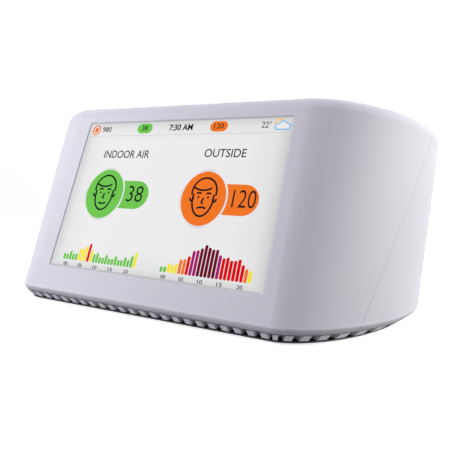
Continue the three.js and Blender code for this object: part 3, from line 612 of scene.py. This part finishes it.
def rubber(name, colour):
    nodes_of = Nodes(name, colour, 0.8)
    grain = nodes_of.noise(2600, 4)
    nodes_of.tint(grain, shade(colour, 0.8), shade(colour, 1.4))
    nodes_of.rough(grain, 0.7, 0.92)
    nodes_of.bump(grain, 0.03)
    return nodes_of


def foam(name, colour):
    """Closed-cell foam: small round cells."""
    nodes_of = Nodes(name, colour, 0.95)
    cells = nodes_of.add("TexVoronoi", {"Vector": nodes_of.where, "Scale": 1500.0}).outputs["Distance"]
    nodes_of.tint(cells, shade(colour, 1.6), shade(colour, 0.5))
    nodes_of.bump(cells, 0.2)
    return nodes_of


def glowing(name, colour, glow):
    """A lit colour on the display: most of its light is its own, and the rest comes from the room."""
    nodes_of = Nodes(name, shade(colour, ROOM_SHARE), 0.3)
    fine = nodes_of.noise(5200, 1)
    nodes_of.tint(fine, shade(colour, 0.96 * ROOM_SHARE), shade(colour, ROOM_SHARE))
    nodes_of.set(Emission_Color=(*colour, 1), Emission_Strength=glow, Specular_IOR_Level=0.0)
    return nodes_of


def lit_panel(name, colour, glow):
    """Light grey display ground that falls off softly towards its edges."""
    nodes_of = glowing(name, colour, glow)
    box_place = nodes_of.add("TexCoord").outputs["Generated"]
    axes = nodes_of.add("SeparateXYZ", {"Vector": box_place}).outputs
    edges = []
    for axis in (axes["X"], axes["Z"]):
        centred = nodes_of.add("Math", {0: axis, 1: 0.5}, operation="SUBTRACT").outputs[0]
        offset = nodes_of.add("Math", {0: centred}, operation="ABSOLUTE").outputs[0]
        edges.append(nodes_of.add("Math", {0: offset, 1: 2.0}, operation="MULTIPLY").outputs[0])
    nearest = nodes_of.add("Math", {0: edges[0], 1: edges[1]}, operation="MAXIMUM").outputs[0]
    for socket, share in (("Base Color", ROOM_SHARE), ("Emission Color", 1)):
        lit = shade(colour, share)
        stops = [(0.70, lit), (0.90, shade(lit, 0.93)), (1.0, shade(lit, 0.76))]
        nodes_of.link(nodes_of.ramp(nearest, *stops), socket)
    return nodes_of


def finishes():
    """One material for each of the record's slots."""
    made = {
        # Shell material carries painted shade and painted highlights by height.
        "shell": shell_plastic_with_painted_light("satin_shell_painted_light", SHELL_WHITE, 0.6),
        "button": moulded("satin_button", shade(SHELL_WHITE, 0.97), 0.38),
        "screen": lit_panel("display_ground", (0.80, 0.80, 0.80), GLOW),
        "rubber": rubber("foot_rubber", (0.04, 0.04, 0.045)),
        "steel": brushed("screw_steel", (0.6, 0.6, 0.62), 0.3, (1, 1, 8)),
        "tin": brushed("tinned_steel", (0.62, 0.63, 0.64), 0.32),
        "panel": moulded("panel_black", (0.03, 0.03, 0.035), 0.35),
        "board": circuit_board("solder_mask", (0.02, 0.17, 0.06)),
        "chip": moulded("chip_epoxy", (0.03, 0.03, 0.033), 0.55, 0.02),
        "connector": moulded("ivory_nylon", (0.75, 0.73, 0.66), 0.5),
        "ribbon": brushed("polyimide", (0.5, 0.2, 0.05), 0.35, (30, 1, 1)),
        "cell": brushed("laminate_pouch", (0.45, 0.46, 0.48), 0.3, (1, 12, 1)),
        "cable": moulded("red_insulation", (0.35, 0.03, 0.03), 0.45),
        "housing": moulded("blue_housing", (0.05, 0.1, 0.3), 0.5),
        "cover": brushed("pressed_lid", (0.65, 0.65, 0.66), 0.3),
        "rotor": moulded("rotor_black", (0.02, 0.02, 0.022), 0.45),
        "brass": brushed("satin_brass", (0.72, 0.53, 0.2), 0.3),
        "underside": moulded("matt_black", (0.02, 0.02, 0.022), 0.6),
        "foam": foam("duct_foam", (0.08, 0.08, 0.085)),
    }
    made["ribbon"].set(Metallic=0.0)
    return {slot: nodes_of.material for slot, nodes_of in made.items()}


def dress_cad_nodes(materials):
    """Gives every CAD node the full material of the slot that it came with."""
    for node in nodes.values():
        node.data.materials[0] = materials[node.data.materials[0].name]


# ---------------------------------------------------------------- display

SCREEN_W, SCREEN_H, SCREEN_DEPTH = 90.3, 62.2, 0.08    # the ground lies just below the front face
LAYER = 0.015                                         # each printed layer on the ground
LINE = 0.72                                           # width of the faces' lines
DISC_WIDTH, DISC_HEIGHT, DISC_RIM = 17.8, 20.6, 0.75
PILL_HEIGHT = 11.4
BARS, BAR_PITCH, BAR_WIDTH = 24, 1.46, 1.15
CHART_FOOT, HOUR_FOOT = 0.956, 0.983                  # shares of the screen's height

# Colour of a bar that is lower than each share of the screen's height; any higher bar is maroon.
INSIDE_STEPS = ((0.074, "green"), (0.112, "yellow"), (1, "red"))
OUTSIDE_STEPS = (
    (0.040, "green"), (0.070, "yellow"), (0.090, "orange"), (0.130, "red"), (0.155, "purple"))

DISPLAY_COLOURS = {
    "green": (0.155, 0.54, 0.08),
    "orange": (0.85, 0.175, 0.02),
    "yellow": (0.88, 0.75, 0.03),
    "red": (0.72, 0.003, 0.004),
    "purple": (0.36, 0.012, 0.16),
    "maroon": (0.15, 0.005, 0.02),
    "ink": (0.012, 0.012, 0.014),
    "white": (0.9, 0.9, 0.9),
    "rule": (0.45, 0.45, 0.47),
    "sky": (0.10, 0.45, 0.85),
    "sun": (0.95, 0.5, 0.05),
}


def screen_place(across, down):
    """Face frame position of a place given as shares of the screen from its top left."""
    return (across - 0.5) * SCREEN_W, (0.5 - down) * SCREEN_H


def layer_levels(layer):
    low = -SCREEN_DEPTH + (layer - 1) * LAYER
    return low, low + LAYER


def layered(ring, layer):
    """Flat shape on the display, given by its outline, at a layer above the ground."""
    return in_face_frame(ring_stack([[(x, y, z) for x, y in ring] for z in layer_levels(layer)]))


def oval(x, y, width, height, sides=64):
    return [(x + px * width / 2, y + py * height / 2) for px, py in circle(1, sides)]


def pill(x, y, width, height):
    end = min(width, height) / 2 - 0.01
    return [(x + px, y + py) for px, py in rounded_rectangle(width, height, end, 10)]


def stroke(path, width, low, high):
    """Flat line of even width along a path, between two levels, with square ends."""
    at = np.array(path, float)
    along = np.gradient(at, axis=0)
    along /= np.linalg.norm(along, axis=1)[:, None]
    aside = np.stack([-along[:, 1], along[:, 0]], 1) * width / 2
    edges = [(tuple(middle + side), tuple(middle - side)) for middle, side in zip(at, aside)]
    return ring_stack([[(*one, low), (*other, low), (*other, high), (*one, high)] for one, other in edges])


def line(path, layer, width=LINE):
    """Line on the display at a layer above the ground."""
    return in_face_frame(stroke(path, width, *layer_levels(layer)))


def arc(x, y, width, height, start, end, steps=20):
    """Points on part of an oval, between two angles in degrees."""
    turns = np.radians(np.linspace(start, end, steps))
    return [(x + width / 2 * math.cos(turn), y + height / 2 * math.sin(turn)) for turn in turns]


def spokes(x, y, inner, outer, count):
    """Short lines that point away from a centre."""
    turns = np.radians(np.arange(count) * 360 / count)
    return [[(x + radius * math.cos(turn), y + radius * math.sin(turn)) for radius in (inner, outer)]
            for turn in turns]


def add_drawing(name, shapes, material):
    add_piece(name, new_mesh(name, joined(shapes)), material)


def lettering(text, height, weight):
    """Flat letters in millimetres about the origin, with digits of a given height."""
    curve = bpy.data.curves.new(text, "FONT")
    curve.body = text
    curve.size = height / 0.70
    curve.offset = weight
    curve.extrude = LAYER / 2
    curve.align_x, curve.align_y = "CENTER", "CENTER"
    curve.resolution_u = 4
    maker = bpy.data.objects.new(text, curve)
    bpy.context.scene.collection.objects.link(maker)
    mesh = bpy.data.meshes.new_from_object(maker.evaluated_get(bpy.context.evaluated_depsgraph_get()))
    bpy.data.objects.remove(maker)
    work = bmesh.new()
    work.from_mesh(mesh)
    bmesh.ops.remove_doubles(work, verts=work.verts, dist=1e-4)
    work.to_mesh(mesh)
    work.free()
    return mesh


def add_label(name, text, place, height, span, material, weight=0.0):
    """Lettering centred on its place, with its width drawn in or out to a span."""
    mesh = lettering(text, height, weight)
    reach = [vertex.co.x for vertex in mesh.vertices]
    stretch = span / (max(reach) - min(reach))
    low, high = layer_levels(4)
    x, y = screen_place(*place)
    centred = Matrix.Translation((x - stretch * (max(reach) + min(reach)) / 2, y, (low + high) / 2))
    to_scene = Matrix.Scale(MM, 4) @ Matrix.Translation((0, 0, LIFT)) @ FACE
    mesh.transform(to_scene @ centred @ Matrix.Diagonal((stretch, 1, 1, 1)))
    mesh.name = name
    add_piece(name, mesh, material)


def add_screen_ground(colours):
    """Glass-smooth slab that fills the window, with grey lines painted along its top and bottom edges as
    shadow at the window's edge.
    """
    soft = 0.12
    rings = []
    for shrink, depth in ((0, -2.3), (0, -SCREEN_DEPTH - soft), (soft, -SCREEN_DEPTH)):
        ring = rounded_rectangle(SCREEN_W - 2 * shrink, SCREEN_H - 2 * shrink, 0.55 - shrink)
        rings.append([(x, y, depth) for x, y in ring])
    mesh = new_mesh("display_screen", in_face_frame(ring_stack(rings)))
    add_piece("display_screen", mesh, colours["ground"], replaced=["display_lens"])
    # Grey lines painted along the top and bottom edges of the ground as painted shadow at the window's
    # edge.
    reach, height = SCREEN_W / 2 - 0.6, SCREEN_H / 2 - 0.2
    edges = [line([(-reach, side * height), (reach, side * height)], 1, 0.3) for side in (-1, 1)]
    add_drawing("display_edge_shadow_lines", edges, colours["rule"])


def face_lines(mouth_bend):
    """Lines of a plain face in a box from -1 to 1, with its mouth bent up or down."""
    jaw = arc(0, -0.06, 1.16, 1.66, 166, 374, 40)
    hair = arc(0, 0.24, 1.36, 1.36, -12, 192, 40)
    fringe = arc(-0.10, 0.66, 1.26, 0.66, 205, 322, 20)
    ears = [arc(side * 0.64, -0.02, 0.20, 0.34, 90 - side * 100, 90 - side * 260, 12) for side in (-1, 1)]
    brows = [arc(side * 0.27, 0.13, 0.30, 0.14, 30, 150, 10) for side in (-1, 1)]
    nose = [(0.02, -0.02), (-0.01, -0.12), (-0.05, -0.22), (-0.03, -0.28), (0.06, -0.28)]
    start, end = (208, 332) if mouth_bend > 0 else (28, 152)
    mouth = arc(0, -0.52 + 0.08 * mouth_bend, 0.54, 0.26, start, end, 16)
    return [jaw, hair, fringe, *ears, *brows, nose, mouth]


def add_reading(side, centre, pill_reach, mouth_bend, colour, colours):
    """Coloured disc with a plain face, and a pill beside it for a number."""
    x, y = screen_place(*centre)
    far = screen_place(pill_reach, 0)[0]
    ring = oval(x, y, DISC_WIDTH + 2 * DISC_RIM, DISC_HEIGHT + 2 * DISC_RIM)
    add_drawing(f"{side}_pill", [layered(pill((x + far) / 2, y, far - x, PILL_HEIGHT), 1)], colours[colour])
    add_drawing(f"{side}_ring", [layered(ring, 2)], colours["ground"])
    add_drawing(f"{side}_disc", [layered(oval(x, y, DISC_WIDTH, DISC_HEIGHT), 3)], colours[colour])
    width, height, lift, eye_x = 7.2, 8.0, 0.4, 0.27
    lines = [[(x + px * width, y + lift + py * height) for px, py in path]
             for path in face_lines(mouth_bend)]
    eyes = [layered(oval(x + side * eye_x * width, y + lift, 0.8, 0.9, 20), 4) for side in (-1, 1)]
    add_drawing(f"{side}_face", [*eyes, *(line(path, 4) for path in lines)], colours["ink"])


def level_colour(level, steps):
    """Name of the colour band that a bar's height falls in."""
    for limit, colour in steps:
        if level < limit:
            return colour
    return "maroon"


def bar_heights(rise, ripple, *humps):
    """Heights of a day's bars, as shares of the screen: smooth humps with a small ripple."""
    hours = np.arange(BARS)
    heights = rise + ripple * np.cos(2.1 * hours + 2)
    for peak, middle, spread in humps:
        heights += peak * np.exp(-((hours - middle) / spread) ** 2)
    return heights


def add_chart(side, left, heights, steps, colours):
    """Row of round-topped bars, one piece for each colour, with five hour marks below."""
    groups = {}
    for i, height in enumerate(heights):
        x, foot = screen_place(left, CHART_FOOT)
        tall = max(height * SCREEN_H, BAR_WIDTH)
        bar = pill(x + i * BAR_PITCH, foot + tall / 2, BAR_WIDTH, tall)
        groups.setdefault(level_colour(height, steps), []).append(layered(bar, 1))
    for colour, bars in groups.items():
        add_drawing(f"{side}_bars_{colour}", bars, colours[colour])
    for hour in range(0, BARS, 5):
        place = (left + (hour + 1) * BAR_PITCH / SCREEN_W, HOUR_FOOT)
        add_label(f"{side}_hour_{hour:02}", f"{hour:02}", place, 1.3, 2.0, colours["ink"], 0.02)


def add_weather_icon(colours):
    """Outline of a sun half behind the outline of a cloud."""
    x, y = screen_place(0.959, 0.048)
    sun = [line(arc(x - 0.9, y + 0.7, 2.6, 2.6, 0, 360, 32), 1, 0.4)]
    sun += [line(ray, 1, 0.35) for ray in spokes(x - 0.9, y + 0.7, 1.7, 2.4, 8)]
    add_drawing("weather_sun", sun, colours["sun"])
    puffs = ((-1.1, -0.8, 2.2, 1.8), (0.5, -0.3, 2.8, 2.8), (2.0, -0.8, 2.0, 1.8))
    clouds = (("weather_cloud_edge", 0.75, 2, "sky"), ("weather_cloud", 0.0, 3, "ground"))
    for name, grow, layer, colour in clouds:
        shapes = [oval(x + px, y + py, width + grow, height + grow, 32) for px, py, width, height in puffs]
        shapes.append(pill(x + 0.45, y - 1.25, 4.9 + grow, 1.0 + grow))
        add_drawing(name, [layered(shape, layer) for shape in shapes], colours[colour])


def add_fan_icon(colours):
    """Ring round a four-bladed fan."""
    x, y = screen_place(0.043, 0.052)
    reach, blade = 0.65, 1.15
    ring = line(arc(x, y, 3.8, 4.0, 0, 360, 40), 1, 0.55)
    blades = [layered(oval(x + reach * math.cos(turn), y + reach * math.sin(turn), blade, blade, 20), 1)
              for turn in np.radians((45, 135, 225, 315))]
    add_drawing("fan_icon", [ring, *blades], colours["orange"])


# Name, text, place, digit height, span and weight of each label on the display.
LABELS = (
    ("inside_heading", "INDOOR AIR", (0.2535, 0.235), 3.3, 22.3, 0.02),
    ("outside_heading", "OUTSIDE", (0.742, 0.227), 3.3, 16.8, 0.02),
    ("inside_number", "38", (0.3565, 0.506), 6.6, 7.2, -0.06),
    ("outside_number", "120", (0.863, 0.506), 6.6, 8.8, -0.06),
    ("clock", "7:30 AM", (0.5055, 0.051), 2.5, 10.6, 0.09),
    ("small_left_number", "38", (0.318, 0.049), 2.1, 2.9, 0.03),
    ("small_right_number", "120", (0.688, 0.049), 2.1, 4.0, 0.03),
    ("count", "980", (0.104, 0.052), 2.3, 4.6, 0.03),
    ("temperature", "22\u00b0", (0.8965, 0.050), 2.4, 3.6, 0.0),
)


def add_top_bar(colours):
    y = screen_place(0.5, 0.098)[1]
    reach = SCREEN_W / 2 - 0.5
    add_drawing("top_rule", [line([(-reach, y), (reach, y)], 1, 0.12)], colours["rule"])
    for name, centre, colour in (("small_left", 0.318, "green"), ("small_right", 0.688, "orange")):
        at = screen_place(centre, 0.049)
        add_drawing(f"{name}_pill", [layered(pill(*at, 7.3, 4.3), 1)], colours[colour])


def add_display(ground):
    colours = {name: glowing(f"display_{name}", colour, GLOW).material
               for name, colour in DISPLAY_COLOURS.items()}
    colours["ground"] = ground
    add_screen_ground(colours)
    add_top_bar(colours)
    add_fan_icon(colours)
    add_weather_icon(colours)
    add_reading("inside", (0.191, 0.507), 0.425, 1, "green", colours)
    add_reading("outside", (0.687, 0.507), 0.923, -1, "orange", colours)
    inside = bar_heights(0.044, 0.013, (0.062, 7.4, 2.3), (0.040, 22.6, 1.2))
    outside = bar_heights(0.032, 0.009, (0.14, 11.5, 6.0), (0.06, 20, 3.0))
    add_chart("inside", 0.0695, inside, INSIDE_STEPS, colours)
    add_chart("outside", 0.5715, outside, OUTSIDE_STEPS, colours)
    for name, text, place, height, span, weight in LABELS:
        add_label(name, text, place, height, span, colours["ink"], weight)


# ---------------------------------------------------------------- buttons, feet and screws


def button_shape(x):
    """Flanged cap with a softly rounded rim."""
    top, soft = HEIGHT - 0.1, 0.5
    profile = [(2, 77.6), (2, 78.4), (6.4, 78.4), (6.4, 79.3), (BUTTON_RADIUS, 79.3)]
    profile += [(BUTTON_RADIUS - soft * (1 - math.cos(t)), top - soft * (1 - math.sin(t)))
                for t in np.linspace(0, math.pi / 2, 7)]
    return turned(profile, 72, x, BUTTON_Y)


def symbol_shapes(kind, x):
    """Printed mark on a button: an arrow to one side, or a ring with a bar."""
    low, high = HEIGHT - 0.1, HEIGHT - 0.08
    if kind == "power":
        paths = [arc(x, BUTTON_Y, 3.2, 3.2, 130, 410, 40), [(x, BUTTON_Y + 0.3), (x, BUTTON_Y + 2.0)]]
    else:
        side = -1 if kind == "left" else 1
        tip = (x + side * 0.7, BUTTON_Y)
        paths = [[(x - side * 0.7, BUTTON_Y + end), tip] for end in (-1.4, 1.4)]
    return [stroke(path, 0.4, low, high) for path in paths]


def add_buttons(cap, print_grey):
    for kind, x in zip(("left", "power", "right"), (-BUTTON_SPACING, 0, BUTTON_SPACING)):
        mesh = new_mesh(f"{kind}_button_cap", button_shape(x))
        shade_by_angle(add_piece(mesh.name, mesh, cap, f"{kind}_button", [f"button_{kind}"]))
        mark = new_mesh(f"{kind}_button_mark", joined(symbol_shapes(kind, x)))
        add_piece(mark.name, mark, print_grey, f"{kind}_button")


def add_feet(material):
    """Rubber discs with two ring grooves underneath."""
    groove_width, slant, deep = 1.0, 0.2, 0.2
    profile = [(0, -LIFT)]
    for start in (1.8, 4.2):
        end = start + groove_width
        profile += [(start, -LIFT), (start + slant, deep - LIFT), (end - slant, deep - LIFT), (end, -LIFT)]
    soft = 0.25
    profile += [(FOOT_RADIUS - soft, -LIFT), (FOOT_RADIUS - 0.07, 0.07 - LIFT), (FOOT_RADIUS, soft - LIFT)]
    profile.append((FOOT_RADIUS, COVER_TOP))
    for i, (x, y) in enumerate(FOOT_SPOTS, 1):
        mesh = new_mesh(f"ribbed_foot_{i}", turned(profile, 64, x, y))
        shade_by_angle(add_piece(mesh.name, mesh, material, replaced=[f"rubber_foot_{i}"]))


def screw_mesh(name, length, place):
    """Pan-head screw with rolled thread and a cross recess; the head hangs below its seat at z = 0."""
    root, crest, pitch, start, tip = 1.05, 1.4, 0.7, 0.4, 0.6
    head, head_height = 2.9, 1.5
    arm, arm_half_width, recess = 1.5, 0.26, -0.7
    profile = [(0, -head_height), (2.1, -head_height), (2.55, -1.3), (head, -0.8), (head, 0), (root, 0)]
    for i in range(int((length - 2 * tip) / pitch)):
        low = start + i * pitch
        profile += [(root, low), (crest, low + pitch / 2), (root, low + pitch * 0.9)]
    profile += [(root, length - tip), (0.5, length)]
    arms = [prism([(x * half, y * thin) for x, y in ((-1, -1), (1, -1), (1, 1), (-1, 1))], -2, recess)
            for half, thin in ((arm, arm_half_width), (arm_half_width, arm))]
    lift = Matrix.Translation((0, 0, LIFT))
    whole = cut(new_mesh(name, turned(profile, 32)), arms[:1])
    whole = cut(whole, arms[1:])
    whole.transform(Matrix.Scale(MM, 4) @ lift @ place @ lift.inverted() @ Matrix.Scale(1 / MM, 4))
    whole.name = name
    return whole


# Node name, length, frame, height of the seat and places of each set of screws.
UPRIGHT = Matrix.Identity(4)
SCREW_SETS = (
    ("base_screw", 6.4, UPRIGHT, 1.5, SCREW_SPOTS),
    ("tray_screw", 3.3, FACE, -6.2, corners(52.1, 20)),
    ("board_screw", 4.4, FACE, -11.4, corners(42, 22)),
    ("button_board_screw", 6.0, UPRIGHT, 70.3, ((-32, BUTTON_Y), (32, BUTTON_Y))),
)


def add_screws(material):
    for kind, length, frame_of_set, seat, places in SCREW_SETS:
        for i, (x, y) in enumerate(places, 1):
            place = frame_of_set @ Matrix.Translation((x, y, seat))
            mesh = screw_mesh(f"threaded_{kind}_{i}", length, place)
            shade_by_angle(add_piece(mesh.name, mesh, material, replaced=[f"{kind}_{i}"]), 25)


# ---------------------------------------------------------------- camera, stage and light


def add_camera():
    azimuth, elevation, roll = (math.radians(angle) for angle in (24.72, 0.74, 4.3))
    back = Vector((
        math.sin(azimuth) * math.cos(elevation),
        -math.cos(azimuth) * math.cos(elevation),
        math.sin(elevation)))
    level = Vector((math.cos(azimuth), math.sin(azimuth), 0))
    upright = back.cross(level)
    right = level * math.cos(roll) + upright * math.sin(roll)
    up = back.cross(right)
    data = bpy.data.cameras.new("camera")
    data.sensor_width = 36
    data.lens = 35.15
    data.shift_x, data.shift_y = -0.0228, 0.0121
    data.clip_start, data.clip_end = 0.01, 20
    camera = bpy.data.objects.new("camera", data)
    place = Matrix((right, up, back)).transposed().to_4x4()
    place.translation = Vector((94.43, -174.84, 36.34)) * MM
    camera.matrix_world = place
    bpy.context.scene.collection.objects.link(camera)
    bpy.context.scene.camera = camera


MIDDLE = Vector((0, 0, 0.04))
PAPER_GLOW = 0.8
WORLD_LOW, WORLD_HIGH = 0.28, 0.20                    # below and above the horizon

# Name, azimuth, elevation, distance, size, watts and colour of each soft box.
SOFT_BOXES = (
    ("key", -45, 20, 0.4, 0.25, 1.10, (1.0, 1.0, 0.92)),
    ("front_fill", -30, 20, 0.4, 0.25, 0.30, (0.6, 0.58, 1.0)),
    ("right", 110, 20, 0.4, 0.25, 0.86, (1.0, 1.0, 0.88)),
    ("right_side", 90, 20, 0.4, 0.25, 0.20, (1.0, 1.0, 0.95)),
    ("right_high", 120, 45, 1.0, 0.5, 2.8, (0.75, 0.70, 1.0)),
    ("rear", 180, 45, 1.0, 0.5, 1.6, (1.0, 1.0, 1.0)),
    ("above", 0, 80, 1.0, 0.8, 1.6, (1.0, 1.0, 1.0)),
    ("rear_left", -120, 45, 1.0, 0.5, 0.6, (1.0, 1.0, 1.0)),
)


def add_light(name, place, aim, size, power, colour):
    """Square soft box at a place in metres, turned towards an aim point."""
    data = bpy.data.lights.new(name, "AREA")
    data.size, data.energy, data.color = size, power, colour
    light = bpy.data.objects.new(name, data)
    light.location = place
    light.rotation_euler = (Vector(place) - Vector(aim)).to_track_quat("Z", "Y").to_euler()
    bpy.context.scene.collection.objects.link(light)


def add_stage():
    """Pale floor that sweeps up into a backdrop."""
    reach, front, back, bend, top = 4.0, -2.0, 1.6, 0.5, 3.0
    path = [(front, 0.0)]
    path += [(back - bend + bend * math.sin(t), bend * (1 - math.cos(t)))
             for t in np.linspace(0, math.pi / 2, 13)]
    path.append((back, top))
    points = [(x, y, z) for x in (-reach, reach) for y, z in path]
    faces = [(i, i + 1, len(path) + i + 1, len(path) + i) for i in range(len(path) - 1)]
    mesh = bpy.data.meshes.new("sweep")
    mesh.from_pydata(points, [], faces)
    for polygon in mesh.polygons:
        polygon.use_smooth = True
    paper = Nodes("studio_paper", (0.9, 0.9, 0.9), 0.9)
    paper.set(Emission_Color=(1, 1, 1, 1), Emission_Strength=PAPER_GLOW, Specular_IOR_Level=0.0)
    mesh.materials.append(paper.material)
    sweep = bpy.data.objects.new("sweep", mesh)
    bpy.context.scene.collection.objects.link(sweep)
    sweep.visible_diffuse = False


def add_world():
    """Soft room light that changes at the horizon."""
    world = bpy.data.worlds.new("studio")
    world.use_nodes = True
    tree = world.node_tree
    axes = tree.nodes.new("ShaderNodeSeparateXYZ")
    tree.links.new(tree.nodes.new("ShaderNodeTexCoord").outputs["Generated"], axes.inputs[0])
    span = tree.nodes.new("ShaderNodeMapRange")
    span.inputs["From Min"].default_value, span.inputs["From Max"].default_value = -0.1, 0.1
    span.inputs["To Min"].default_value, span.inputs["To Max"].default_value = WORLD_LOW, WORLD_HIGH
    tree.links.new(axes.outputs["Z"], span.inputs["Value"])
    tree.links.new(span.outputs[0], tree.nodes["Background"].inputs["Strength"])
    tree.nodes["Background"].inputs["Color"].default_value = (0.95, 0.95, 1.0, 1)
    bpy.context.scene.world = world
    bpy.context.scene.view_settings.view_transform = "Standard"


def towards(azimuth, elevation, distance):
    """Place in metres at a distance from the middle of the object; azimuth 0 is in front, 90 at +X."""
    across, up = math.radians(azimuth), math.radians(elevation)
    reach = distance * math.cos(up)
    return MIDDLE + Vector((reach * math.sin(across), -reach * math.cos(across), distance * math.sin(up)))


def add_studio():
    add_world()
    add_stage()
    for name, azimuth, elevation, distance, size, watts, colour in SOFT_BOXES:
        add_light(name, towards(azimuth, elevation, distance), MIDDLE, size, watts, colour)


# ---------------------------------------------------------------- making


add_camera()
add_studio()
materials = finishes()
dress_cad_nodes(materials)
add_shells(materials["shell"])
# The base takes the shell material, so its fins carry the painted highlight.
add_base(materials["shell"])
add_cover(materials["underside"])
add_display(materials["screen"])
add_buttons(materials["button"], moulded("button_print", (0.25, 0.25, 0.27), 0.5).material)
add_feet(materials["rubber"])
add_screws(materials["steel"])
